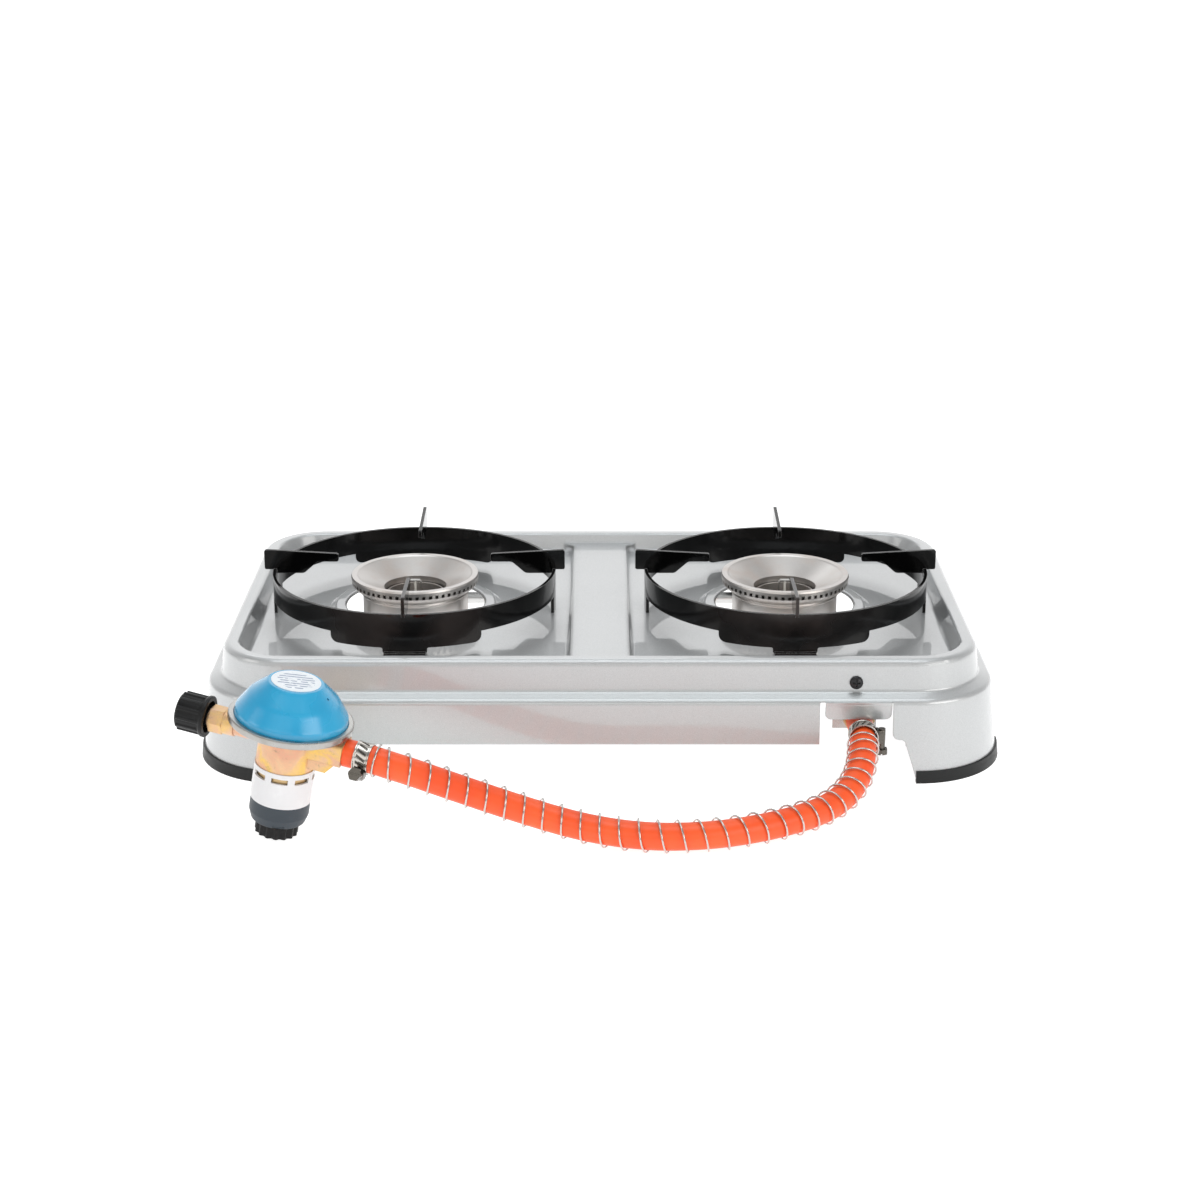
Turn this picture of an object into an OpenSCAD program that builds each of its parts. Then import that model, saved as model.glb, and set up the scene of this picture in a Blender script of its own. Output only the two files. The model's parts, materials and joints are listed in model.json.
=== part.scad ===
// Two-burner gas camping stove with a pressure regulator and a guarded hose.
// Millimetres, +Z up. The floor is z = 0, the knobs face -Y and the gas inlet is at the +Y wall.

/* [Body] */
// Length of the pressed top at its rim
rim_l = 468; // [464:1:472]
// Depth of the pressed top at its rim
rim_w = 268; // [266:1:272]
// Height of the rim above the floor
rim_z = 74; // [73:0.5:76]
// How far the foot of the wall stands out past the rim
foot_out = 16; // [15:0.5:17]
// Plan radius of the rim's corners
corner_r = 40; // [38:1:42]
// Sheet thickness
sheet = 1; // [0.8:0.1:1.2]

/* [Burners] */
// Distance between the two burners
pitch = 244.4; // [242:0.2:246]
// Radius of a burner cap
cap_r = 42; // [40:0.5:43]
// Height of a burner cap's top
cap_z = 85.9; // [84:0.1:87]
// Radius of the hole in the top round each burner
hole_r = 45.5; // [44:0.5:48]

/* [Pan supports] */
// Outer radius of a pan support's ring
ring_r = 93; // [91:0.5:94]
// Height of a ring's upper edge
ring_z = 88.9; // [88:0.1:90]
// Height of the prongs at their outer ends
prong_z = 102; // [100:0.5:104]

/* [Controls] */
// Height of the tap spindles
tap_z = 49; // [49:0.5:50]
// How far a knob is pushed in before it turns
knob_push = 3; // [2:0.5:3]

/* [Hose] */
// Outer diameter of the hose
hose_d = 16; // [15:0.5:16]
// Outer diameter of the wire guard round the hose
guard_d = 20; // [19:0.5:20]

/* [Regulator] */
// Radius of the regulator's rolled flange
flange_r = 36; // [35.5:0.5:37]
// How far the regulator leans towards its outlet
lean = 10; // [8:1:12]
// Turn of the regulator's outlet from the +X axis
swing = 167; // [165:1:169]

/* [Hidden] */
$fn = 96;

// The rest frame: the body is centred on y = origin_y, so that the stove's own box is centred on y = 0.
origin_y = 10;
left = -1;
right = 1;
clear = 0.05;

// Body heights and offsets from the rim's outer line
half_l = rim_l / 2;
half_w = rim_w / 2;
floor_z = rim_z - 11.5;
bridge_z = rim_z - 6.5;
step_z = rim_z - 23;
band_out = 2.5;
step_out = foot_out - 5.4;
floor_in = -20.2;
bridge_half = 16.5;
well_r = 8;
skirt_rear_z = 24.3;
skirt_front_z = 31;
leg_x = half_l - corner_r;
leg_y = half_w - corner_r;

// Gas line
pipe_r = 4;
pipe_z = 30;
pipe_y = -112;
pipe_x = -160;
pipe_bend = 20;
inlet_y = 112;
screw_x = -156;
screw_z = 60.2;

// Regulator levels along its own axis
reg_at = [188, 223.5, 2.2];
reg_axis_z = 59.8;
crimp_z = 71;
dome_z = 95.2;
boss_end = 34.5;
bonnet_at = 38.6;
valve_knob_from = 48.5;

// Hose route from the stove's nozzle to the regulator's outlet
route = [
    [-160, 124, 30], [-160, 133, 30], [-159.9, 142, 29.7], [-159.5, 151, 28.5], [-158.6, 160, 26.3],
    [-157.2, 169.5, 23.4], [-154.8, 179, 20.1], [-151, 188.2, 16.8], [-145.6, 197, 13.9],
    [-138.6, 205.4, 11.8], [-130, 213.4, 10.5], [-120, 221.2, 10], [-108.6, 228.8, 10],
    [-96, 235.8, 10], [-82, 241.8, 10], [-67, 246.4, 10], [-51, 249, 10], [-35, 249.4, 10],
    [-19, 247.4, 10.2], [-3, 244.2, 11.1], [13, 241, 13.2], [29, 238.6, 16.8], [45, 237.2, 21.5],
    [61, 236.8, 27], [77, 237, 33], [92, 237.6, 38.9], [106, 238.4, 44.6], [120, 238.6, 49.6],
    [132.4, 236.2, 52.8], [144.7, 233.4, 55]
];
guard_first = 3;
guard_last = 27;

// ---- outlines ----

function unit(v) = v / norm(v);
function flip(p) = [for (i = [len(p) - 1 : -1 : 0]) p[i]];

// Points of the arc of radius r that rounds the corner b between a and c
function corner_arc(a, b, c, r, n) =
    let (u = unit(a - b), v = unit(c - b), half = acos(u * v) / 2, reach = r / tan(half),
         centre = b + unit(u + v) * r / sin(half), p = b + u * reach - centre, q = b + v * reach - centre,
         start = atan2(p[1], p[0]), sweep = (atan2(q[1], q[0]) - start + 540) % 360 - 180)
    [for (i = [0:n]) centre + r * [cos(start + sweep * i / n), sin(start + sweep * i / n)]];

// An open outline with its corners rounded by the radii given, 0 for a sharp one
function rounded(p, radii, n = 5) = [
    p[0],
    for (i = [1 : len(p) - 2])
        each (radii[i] > 0 ? corner_arc(p[i - 1], p[i], p[i + 1], radii[i], n) : [p[i]]),
    p[len(p) - 1]
];

// A closed outline with every corner rounded by the radii given
function rounded_loop(p, radii, n = 5) = [
    for (i = [0 : len(p) - 1])
        each (radii[i] > 0
            ? corner_arc(p[(i + len(p) - 1) % len(p)], p[i], p[(i + 1) % len(p)], radii[i], n)
            : [p[i]])
];

function left_normal(a, b) = unit([a[1] - b[1], b[0] - a[0]]);
function shifted(p, t) = [
    for (i = [0 : len(p) - 1])
        let (m = left_normal(p[max(i - 1, 0)], p[max(i, 1)]),
             n = left_normal(p[min(i, len(p) - 2)], p[min(i + 1, len(p) - 1)]))
        p[i] + t * (m + n) / (1 + m * n)
];
// A sheet of thickness t along the outline p, on its left
function strip(p, t) = concat(p, flip(shifted(p, t)));

// ---- solids shared by several parts ----

// A profile of (distance out from the line, height) carried round a rectangle with round corners
module carry_round(hx, hy, r, profile) {
    for (side = [0:3]) {
        reach = side % 2 == 0 ? hx : hy;
        run = side % 2 == 0 ? hy : hx;
        rotate([0, 0, 90 * side]) {
            translate([reach, 0, 0])
                rotate([90, 0, 0]) linear_extrude(height = 2 * (run - r), center = true) polygon(profile);
            translate([reach - r, run - r, 0])
                rotate_extrude(angle = 90) translate([r, 0]) polygon(profile);
        }
    }
}

// A ring of points round each point of a route, at radius r
function rings(path, r, sides) = [
    for (i = [0 : len(path) - 1])
        let (t = unit(path[min(i + 1, len(path) - 1)] - path[max(i - 1, 0)]),
             s = unit(cross(t, [0, 0, 1])), u = cross(s, t))
        for (k = [0 : sides - 1])
            path[i] + r * (cos(360 * (k + 0.5) / sides) * s + sin(360 * (k + 0.5) / sides) * u)
];

module tube(path, r, sides = 10) {
    n = len(path);
    polyhedron(
        points = rings(path, r, sides),
        faces = concat(
            [[for (k = [0 : sides - 1]) k]],
            [for (i = [0 : n - 2]) for (k = [0 : sides - 1])
                [i * sides + k, (i + 1) * sides + k,
                 (i + 1) * sides + (k + 1) % sides, i * sides + (k + 1) % sides]],
            [[for (k = [sides - 1 : -1 : 0]) (n - 1) * sides + k]]));
}

module hollow_tube(path, r_out, r_in, sides = 12) {
    n = len(path);
    inner = n * sides;
    end = (n - 1) * sides;
    polyhedron(
        points = concat(rings(path, r_out, sides), rings(path, r_in, sides)),
        faces = concat(
            [for (i = [0 : n - 2]) for (k = [0 : sides - 1])
                [i * sides + k, (i + 1) * sides + k,
                 (i + 1) * sides + (k + 1) % sides, i * sides + (k + 1) % sides]],
            [for (i = [0 : n - 2]) for (k = [0 : sides - 1])
                [inner + i * sides + (k + 1) % sides, inner + (i + 1) * sides + (k + 1) % sides,
                 inner + (i + 1) * sides + k, inner + i * sides + k]],
            [for (k = [0 : sides - 1]) [k, (k + 1) % sides, inner + (k + 1) % sides, inner + k]],
            [for (k = [0 : sides - 1])
                [end + (k + 1) % sides, end + k, inner + end + k, inner + end + (k + 1) % sides]]));
}

module coil(r, wire, height, turns) {
    steps = 14;
    last = turns * steps;
    tube([for (i = [0 : last])
        [r * cos(360 * i / steps), r * sin(360 * i / steps), wire / 2 + (height - wire) * i / last]],
        wire / 2, 6);
}

module pipe(r_out, r_in, h) {
    difference() {
        cylinder(r = r_out, h = h);
        translate([0, 0, -1]) cylinder(r = r_in, h = h + 2);
    }
}

module hex(flats, h) { cylinder(d = flats / cos(30), h = h, $fn = 6); }

// ---- places ----

module at_rest() { translate([0, origin_y, 0]) children(); }
module at_burner(side) { translate([side * pitch / 2, 0, 0]) children(); }
// Along a tap: local z runs from the burner towards the knob, local y is up
module at_tap(side) { translate([side * pitch / 2, 0, tap_z]) rotate([90, 0, 0]) children(); }
module at_regulator() { translate(reg_at) rotate([0, 0, swing]) rotate([0, lean, 0]) children(); }
// Along the regulator's cross axis: local z runs from its centre towards the outlet
module at_outlet() { at_regulator() translate([0, 0, reg_axis_z]) rotate([0, 90, 0]) children(); }
module at_valve() { at_regulator() translate([0, 0, reg_axis_z]) rotate([0, -90, 0]) children(); }
module at_inlet() { translate([pipe_x, 0, pipe_z]) rotate([-90, 0, 0]) children(); }

// ---- body ----

wall_line = rounded(
    [[foot_out, 0], [step_out, step_z], [band_out, step_z + 3.5], [0, rim_z], [-9.2, rim_z],
     [-13.8, floor_z], [floor_in, floor_z]],
    [0, 4, 2.5, 4.5, 2.2, 3, 0]);
well_line = rounded([[2, bridge_z], [0, bridge_z], [-3.6, floor_z], [-well_r, floor_z]], [0, 2.2, 2.2, 0]);
collar_line = rounded(
    [[hole_r + 13, floor_z], [hole_r + 11.5, floor_z], [hole_r + 7, floor_z + 3.6],
     [hole_r + 0.6, floor_z + 3.6], [hole_r, floor_z + 2]],
    [0, 2, 3, 1.6, 0], 4);

module bridge() {
    well_end = half_w + floor_in;
    for (side = [0, 180]) rotate([0, 0, side]) {
        translate([bridge_half, 0, 0]) mirror([1, 0, 0]) rotate([90, 0, 0])
            linear_extrude(height = 2 * well_end, center = true) polygon(strip(well_line, sheet));
        for (end = [-1, 1])
            translate([bridge_half + well_r, end * well_end, 0]) rotate([0, 0, end > 0 ? 90 : 180])
                rotate_extrude(angle = 90) translate([well_r, 0])
                    polygon(strip(well_line, sheet));
    }
    translate([0, 0, bridge_z - sheet]) linear_extrude(height = sheet) difference() {
        square([2 * (bridge_half + well_r), 2 * (half_w - 11.3)], center = true);
        for (side = [-1, 1]) well_mouth(side);
    }
}

// The outline of one well's inner end at the bridge's level
module well_mouth(side) {
    top = 2;
    well_end = half_w + floor_in;
    reach = well_end + well_r - top;
    translate([side * (bridge_half + top + 20), 0]) square([40, 2 * well_end], center = true);
    translate([side * (bridge_half + well_r + 20), 0]) square([40, 2 * reach], center = true);
    for (end = [-1, 1]) translate([side * (bridge_half + well_r), end * well_end]) circle(r = well_r - top);
}

module tray_floor() {
    difference() {
        translate([0, 0, floor_z - sheet]) linear_extrude(height = sheet) difference() {
            floor_l = half_l + floor_in;
            floor_w = half_w + floor_in;
            r = corner_r + floor_in;
            union() {
                square([2 * (floor_l - r), 2 * floor_w], center = true);
                square([2 * floor_l, 2 * (floor_w - r)], center = true);
                for (x = [-1, 1]) for (y = [-1, 1])
                    translate([x * (floor_l - r), y * (floor_w - r)]) circle(r = r);
            }
            square([2 * (bridge_half + well_r), 4 * half_w], center = true);
            for (side = [left, right]) translate([side * pitch / 2, 0]) circle(r = hole_r + 13);
        }
    }
}

// What is cut from the wall between the feet, as seen along the wall: span is half the gap's width
function skirt_gap(span, z) = concat(
    [[-span - 7, -1], [-span, z - 3]],
    corner_arc([-span, z - 3], [-span + 1, z], [span, z], 3, 4),
    corner_arc([-span, z], [span - 1, z], [span, z - 3], 3, 4),
    [[span, z - 3], [span + 7, -1]]);

module skirt_cuts() {
    // front and rear
    translate([0, -half_w - 40, 0]) rotate([90, 0, 0]) translate([0, 0, -60])
        linear_extrude(height = 70) polygon(skirt_gap(leg_x - 7, skirt_front_z));
    translate([0, half_w + 40, 0]) rotate([90, 0, 0]) translate([0, 0, -10])
        linear_extrude(height = 70) polygon(skirt_gap(leg_x - 7, skirt_rear_z));
    // both sides
    for (side = [left, right])
        translate([side * (half_l + 5), 0, 0]) rotate([90, 0, 90])
            linear_extrude(height = 70, center = true) polygon(skirt_gap(leg_y - 7, skirt_rear_z));
    // the way out for the hose
    translate([0, half_w + 40, 0]) rotate([90, 0, 0]) translate([0, 0, -10]) linear_extrude(height = 70)
        polygon(rounded_loop(
            [[-leg_x + 8, skirt_rear_z - 4], [-leg_x + 8, skirt_rear_z + 2.7], [-178, skirt_rear_z + 2.7],
             [-178, step_z - 0.6], [-133.5, step_z - 0.6], [-133.5, skirt_rear_z - 4]],
            [0, 3, 4, 1, 1, 0], 4));
}

tab_w = 40.5;
tab_x = -157.2;
tab_lean = 17;
module hose_tab() {
    wall_y = half_w + step_out;
    translate([tab_x, wall_y, step_z - 2]) rotate([-90 - tab_lean, 0, 0]) mirror([0, 0, 1])
        linear_extrude(height = sheet) {
            depth = 11.3;
            r = 4;
            translate([-tab_w / 2, -1.5]) square([tab_w, depth + 1.5 - r]);
            translate([-tab_w / 2 + r, 0]) square([tab_w - 2 * r, depth]);
            for (side = [-1, 1]) translate([side * (tab_w / 2 - r), depth - r]) circle(r = r);
        }
    translate([tab_x, wall_y - 0.1, step_z - 2]) translate([-tab_w / 2, -sheet, -0.8])
        cube([tab_w, sheet, 2.6]);
}

module body_shell() {
    color("gainsboro") {
        difference() {
            carry_round(half_l, half_w, corner_r, strip(wall_line, sheet));
            translate([0, 0, -0.5]) cube([3 * half_l, 3 * half_w, 4], center = true);
            skirt_cuts();
            for (side = [left, right]) at_tap(side) translate([0, 0, 110]) cylinder(r = 5, h = 60);
            bracket_screw_place() translate([0, 0, -20]) cylinder(r = 2.1, h = 40);
        }
        tray_floor();
        bridge();
        for (side = [left, right]) at_burner(side) rotate_extrude() polygon(strip(collar_line, sheet));
        hose_tab();
    }
}

// A foot trim's section: a slanted U that grips the wall's edge
trim_h = 7.5;
trim_wall = 1.3;
module foot_trims() {
    slope = (foot_out - step_out) / step_z;
    u = [
        [foot_out + trim_wall, 0], [foot_out + trim_wall - slope * trim_h, trim_h],
        [foot_out - slope * trim_h, trim_h], [foot_out - slope * 1.5, 1.5],
        [foot_out - sheet - clear - slope * 1.5, 1.5], [foot_out - sheet - clear - slope * trim_h, trim_h],
        [foot_out - sheet - trim_wall - slope * trim_h, trim_h], [foot_out - sheet - trim_wall, 0]
    ];
    color("dimgray") difference() {
        carry_round(half_l, half_w, corner_r, u);
        cube([2 * (leg_x - 1), 4 * half_w, 40], center = true);
        cube([4 * half_l, 2 * (leg_y - 1), 40], center = true);
    }
}

// ---- gas line ----

band_tilt = atan(band_out / (rim_z - step_z - 3.5));
module bracket_screw_place() {
    translate([screw_x, half_w + band_out * (rim_z - screw_z) / (rim_z - step_z - 3.5), screw_z])
        rotate([-90 + band_tilt, 0, 0]) children();
}

module bracket_screw() {
    color("black") bracket_screw_place() difference() {
        union() {
            translate([0, 0, 0.02]) rotate_extrude() polygon(concat(
                [[0, 0], [4.1, 0]], [for (a = [20:14:76]) [4.1 * cos(a) + 0.2, 2.7 * sin(a)]], [[0, 2.7]]));
            translate([0, 0, -7]) cylinder(r = 2, h = 8);
        }
        for (turn = [0, 90]) rotate([0, 0, turn]) translate([0, 0, 2.6]) cube([4.6, 1, 2.6], center = true);
    }
}

module inlet_bracket() {
    plate = 1.5;
    top_y = half_w - 1.2;
    color("silver") difference() {
        union() {
            translate([screw_x - 12, top_y - plate, 49]) cube([24, plate, 17]);
            translate([screw_x - 12, inlet_y + 6.5, 47.5]) cube([24, top_y - inlet_y - 6.5, plate]);
            translate([screw_x - 15, inlet_y + 6.5, 24]) cube([24 + 3, plate, 25]);
        }
        bracket_screw_place() translate([0, 0, -20]) cylinder(r = 2.05, h = 40);
        at_inlet() translate([0, 0, inlet_y]) cylinder(r = 6.05, h = 12);
    }
}

module pipe_run(r, reach) {
    bend_x = pipe_x + pipe_bend;
    translate([bend_x, pipe_y, pipe_z]) rotate([0, 90, 0]) cylinder(r = r, h = reach - bend_x);
    translate([bend_x, pipe_y + pipe_bend, pipe_z]) rotate([0, 0, 180]) rotate_extrude(angle = 90)
        translate([pipe_bend, 0]) circle(r = r, $fn = 48);
    translate([0, pipe_y + pipe_bend, 0]) at_inlet() cylinder(r = r, h = inlet_y - pipe_y - pipe_bend);
}

module manifold_pipe() {
    color("silver") difference() {
        pipe_run(pipe_r, 132);
        pipe_run(pipe_r - 1.2, 130);
        translate([0, inlet_y - 1, 0]) at_inlet() cylinder(r = pipe_r - 1.2, h = 2);
        for (side = [left, right])
            translate([side * pitch / 2, pipe_y, pipe_z]) cylinder(r = 1.5, h = 10);
    }
}

// Hose tail with barbs, from z = 0 to h
module barbed_tail(h, bore) {
    barbs = floor(h / 6);
    difference() {
        rotate_extrude() polygon(concat(
            [[0, 0]],
            [for (i = [0 : barbs - 1]) each [[4.2, i * h / barbs], [5, (i + 0.15) * h / barbs]]],
            [[4, h], [0, h]]));
        translate([0, 0, -1]) cylinder(r = bore, h = h + 2);
    }
}

module hose_nozzle() {
    color("goldenrod") at_inlet() {
        difference() {
            union() {
                translate([0, 0, inlet_y]) hex(17, 6.5);
                translate([0, 0, inlet_y + 6.5]) cylinder(r = 6, h = 5.3);
            }
            translate([0, 0, inlet_y - 1]) cylinder(r = 2.8, h = 14);
        }
        translate([0, 0, inlet_y + 11.8]) barbed_tail(27, 2.8);
    }
}

module nozzle_locknut() {
    color("goldenrod") at_inlet() translate([0, 0, inlet_y + 8]) difference() {
        hex(17, 3.6);
        translate([0, 0, -1]) cylinder(r = 6.02, h = 6);
    }
}

// ---- taps ----

tap_r = 9.3;
plug_from = 104.5;
plug_to = 121.5;
bonnet_from = 128.4;
module tap_body(side) {
    color("goldenrod") difference() {
        union() {
            at_tap(side) translate([0, 0, 98]) cylinder(r = tap_r, h = bonnet_from - 98);
            at_tap(side) translate([0, 0, 96]) hex(13, 3);
            at_burner(side) translate([-7, pipe_y - 7, pipe_z - 6.5]) cube([14, 14, tap_z - pipe_z]);
        }
        at_tap(side) {
            translate([0, 0, plug_from - 0.5])
                cylinder(r1 = 5.55, r2 = 7.05, h = plug_to - plug_from + 0.5);
            translate([0, 0, plug_to - 0.01]) cylinder(r = 7.5, h = 20);
            translate([0, 0, 90]) cylinder(r = 1.5, h = 20);
            translate([0, 0, 95]) cylinder(r = 3, h = 5);
        }
        at_burner(side) {
            translate([0, pipe_y, pipe_z]) rotate([0, 90, 0]) cylinder(r = pipe_r, h = 30, center = true);
            translate([0, pipe_y, pipe_z]) cylinder(r = 1.5, h = tap_z - pipe_z);
        }
    }
}

module tap_bonnets() {
    color("goldenrod") for (side = [left, right])
        at_tap(side) translate([0, 0, bonnet_from]) pipe(tap_r, 3 + clear, 2.6);
}

module injector_jets() {
    color("goldenrod") for (side = [left, right]) at_tap(side) difference() {
        union() {
            translate([0, 0, 90]) cylinder(r1 = 2, r2 = 3.2, h = 2);
            translate([0, 0, 92]) hex(7, 3.9);
            translate([0, 0, 95.9]) cylinder(r = 2.95, h = 3.9);
        }
        translate([0, 0, 89]) cylinder(r = 0.4, h = 8);
        translate([0, 0, 92.5]) cylinder(r = 1.4, h = 10);
    }
}

module tap_plug(side) {
    color("peru") at_tap(side) difference() {
        translate([0, 0, plug_from]) cylinder(r1 = 5.5, r2 = 6.92, h = plug_to - plug_from);
        // slot that the spindle's tongue slides in
        translate([-1.3, -3, plug_to - 13]) cube([2.6, 6, 14]);
        // gas way: down to the pipe, then out at the back
        translate([0, 0, -pipe_y]) rotate([90, 0, 180]) cylinder(r = 1.5, h = 10);
        translate([0, 0, plug_from - 1]) cylinder(r = 1.5, h = 8);
    }
}

spindle_end = 166;
spindle_from = plug_to + knob_push + 0.1;
bezel_end = 149;
knob_r = 16;
module tap_spindle(side) {
    color("silver") at_tap(side) difference() {
        union() {
            translate([-1.2, -2.8, 113]) cube([2.4, 5.6, spindle_from - 112]);
            translate([0, 0, spindle_from]) cylinder(r = 3, h = spindle_end - spindle_from);
            translate([0, 0, 126.6]) cylinder(r = 5.4, h = 1.6);
        }
        translate([1.9, -4, 150]) cube([4, 8, 20]);
    }
}

module tap_spring(side) {
    color("silver") at_tap(side) translate([0, 0, plug_to + 0.15]) coil(4.5, 0.6, 4.85, 3);
}

knob_from = bezel_end + knob_push + 0.3;
knob_front = rim_w / 2 + foot_out + trim_wall + 2 * origin_y;
module knob(side) {
    color("black") at_tap(side) difference() {
        union() {
            translate([0, 0, knob_from]) rotate_extrude() polygon(rounded_loop(
                [[0, 0], [knob_r - 0.4, 0], [knob_r, 3.6], [12.4, 5.2], [11.4, 11], [0, 11]],
                [0, 0.6, 1.6, 1.5, 1.2, 0], 4));
            intersection() {
                translate([0, 0, knob_from]) rotate_extrude() polygon(rounded_loop(
                    [[0, 0], [knob_r - 0.4, 0], [knob_r - 1.2, knob_front - knob_from],
                     [0, knob_front - knob_from]],
                    [0, 0, 2.5, 0], 4));
                translate([0, 0, knob_from + 3]) linear_extrude(height = 30) polygon(rounded_loop(
                    [[-4.6, -19], [4.6, -19], [4.6, 19], [-4.6, 19]], [2, 2, 2, 2], 4));
            }
        }
        translate([0, 0, knob_from - 1]) difference() {
            cylinder(r = 3, h = spindle_end - knob_from + 1.2);
            translate([1.9, -4, -1]) cube([4, 8, 20]);
        }
    }
}

module knob_bezels() {
    face = half_w + step_out;
    color("black") difference() {
        for (side = [left, right])
            at_tap(side) translate([0, 0, half_w - 6]) pipe(knob_r - 1.4, 5.2, bezel_end - half_w + 6);
        // the wall and all that is behind it
        rotate([90, 0, 90]) linear_extrude(height = rim_l, center = true)
            polygon(concat([for (p = wall_line) if (p[0] > -2) [-half_w - p[0] - 0.02, p[1]]],
                [[-half_w + 40, rim_z + 10], [-half_w + 40, -5], [-face - 6, -5]]));
    }
}

// ---- burners ----

cup_r = 34.5;
cup_wall = 1.2;
cup_z = 40;
well_tube_r = 18;
module burner_cup(side) {
    rim_at = cap_z - 7.4;
    color("silver") at_burner(side) difference() {
        rotate_extrude() polygon([
            [well_tube_r, cup_z], [cup_r - 2, cup_z], [cup_r, cup_z + 2], [cup_r, rim_at - 5.8],
            [cup_r + 1.4, rim_at - 4.4], [cup_r + 1, rim_at - 3.2], [cap_r - 1.8, rim_at],
            [cap_r - 3.6, rim_at], [cup_r - cup_wall, rim_at - 3.6], [cup_r - cup_wall, cup_z + 2.4],
            [cup_r - 2.4, cup_z + cup_wall], [well_tube_r + cup_wall, cup_z + cup_wall],
            [well_tube_r + cup_wall, cup_z + 33], [well_tube_r, cup_z + 33]]);
        at_mixer() translate([0, 0, cup_r - 8]) cylinder(r = 6.5, h = 30);
        for (y = [-1, 1]) translate([0, y * 27, cup_z - 1]) cylinder(r = 2.05, h = 4);
    }
}

// From the burner's centre towards the tap, at the tap's height, in a burner's own place
module at_mixer() { translate([0, 0, tap_z]) rotate([90, 0, 0]) children(); }

module mixing_tube(side) {
    color("silver") at_burner(side) difference() {
        at_mixer() {
            rotate_extrude() polygon(strip(rounded(
                [[7.5, 30], [7.5, 78], [9.2, 86]], [0, 12, 0], 4), 1));
        }
        translate([0, 0, cup_z - 1]) cylinder(r = cup_r, h = 60);
    }
}

module burner_straps() {
    reach = 56;
    t = 1.5;
    color("silver") for (side = [left, right]) at_burner(side) difference() {
        union() {
            translate([-reach, -9, cup_z - t]) cube([2 * reach, 18, t]);
            for (end = [-1, 1]) {
                translate([end * reach - t / 2, -9, cup_z - t]) cube([t, 18, floor_z - sheet - cup_z + t]);
                translate([end * (reach + 5) - 5, -9, floor_z - sheet - t]) cube([10, 18, t]);
            }
            translate([-9, -32, cup_z - t]) cube([18, 64, t]);
        }
        translate([0, 0, cup_z - 5]) cylinder(r = 2.6, h = 9);
        for (y = [-1, 1]) translate([0, y * 27, cup_z - 5]) cylinder(r = 2.05, h = 9);
    }
}

module burner_screws() {
    color("silver") for (side = [left, right]) at_burner(side) for (y = [-1, 1]) translate([0, y * 27, 0]) {
        difference() {
            translate([0, 0, cup_z - 4.1]) cylinder(r1 = 3.2, r2 = 3.6, h = 2.6);
            translate([0, 0, cup_z - 4.2]) cube([4.2, 0.9, 2], center = true);
            translate([0, 0, cup_z - 4.2]) cube([0.9, 4.2, 2], center = true);
        }
        translate([0, 0, cup_z - 1.5]) cylinder(r = 2, h = 5.5);
    }
}

electrode_top = 80;
module igniter_electrode(side) {
    color("white") at_burner(side) rotate_extrude() polygon([
        [0, 33], [1.4, 33], [1.4, 36], [2.5, 36], [2.5, 70], [1.6, 72], [0.8, 72], [0.8, electrode_top],
        [0, electrode_top]]);
}

lead_line = [
    [0, 0, 33.2], [1.5, -1, 31.2], [5, -5, 29.6], [10, -13, 29.4], [15, -24, 30], [19, -38, 33],
    [22, -54, 38], [24, -70, 43.5], [25.4, -84, 47], [26, -95, 48.6], [26, -99.6, 49]
];
module ignition_leads() {
    color("white") for (side = [left, right]) at_burner(side) tube(lead_line, 1.3, 8);
}

module piezo_igniters() {
    color("black") for (side = [left, right]) at_burner(side) {
        translate([26, -99.5, 49]) rotate([90, 0, 0]) {
            cylinder(r = 3.2, h = 4);
            translate([0, 0, 4]) cylinder(r = 6, h = 24);
        }
        difference() {
            translate([9, -122, 46]) cube([14, 8, 5]);
            at_mixer() cylinder(r = tap_r + 0.02, h = 140);
        }
    }
}

port_count = 60;
module burner_cap(side) {
    bottom = cap_z - 7.35;
    shell = [
        [cap_r - 2.6, bottom], [cap_r - 1.6, bottom], [cap_r - 0.4, cap_z - 5.4], [cap_r, cap_z - 1.2],
        [cap_r - 0.5, cap_z], [cap_r - 4, cap_z], [cap_r - 5, cap_z - 0.7], [20.5, cap_z - 9],
        [20.5, cap_z - 14], [21.5, cap_z - 14], [21.5, cap_z - 9.6], [cap_r - 6, cap_z - 2.2],
        [cap_r - 3.2, cap_z - 2.2]
    ];
    color("lightgray") at_burner(side) difference() {
        rotate_extrude() polygon(shell);
        for (i = [0 : port_count - 1]) rotate([0, 0, 360 * i / port_count])
            translate([cap_r - 1.4, 0, cap_z - 4.3]) cube([4, 2.1, 2.3], center = true);
    }
}

// ---- pan supports ----

strip_t = 2;
prong_in = 50;
prong_out = 99;
prong_line = rounded_loop(
    [[prong_out, ring_z - 0.4], [prong_out, prong_z], [prong_in, prong_z - 2.8], [prong_in, prong_z - 8.2],
     [64, prong_z - 8.2], [73, ring_z - 3], [ring_r - strip_t - 0.2, ring_z - 3],
     [ring_r - strip_t - 0.2, ring_z - 0.4]],
    [1.2, 1.5, 1.5, 1.5, 4, 4, 0, 0], 4);
lobe_line = rounded_loop(
    [[-47.5, ring_z - 14], [-47.5, ring_z - 22.2], [-14, ring_z - 22.2], [-14, floor_z], [14, floor_z],
     [14, ring_z - 22.2], [47.5, ring_z - 22.2], [47.5, ring_z - 14]],
    [0, 4.5, 1.2, 2, 2, 1.2, 4.5, 0], 4);

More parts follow.
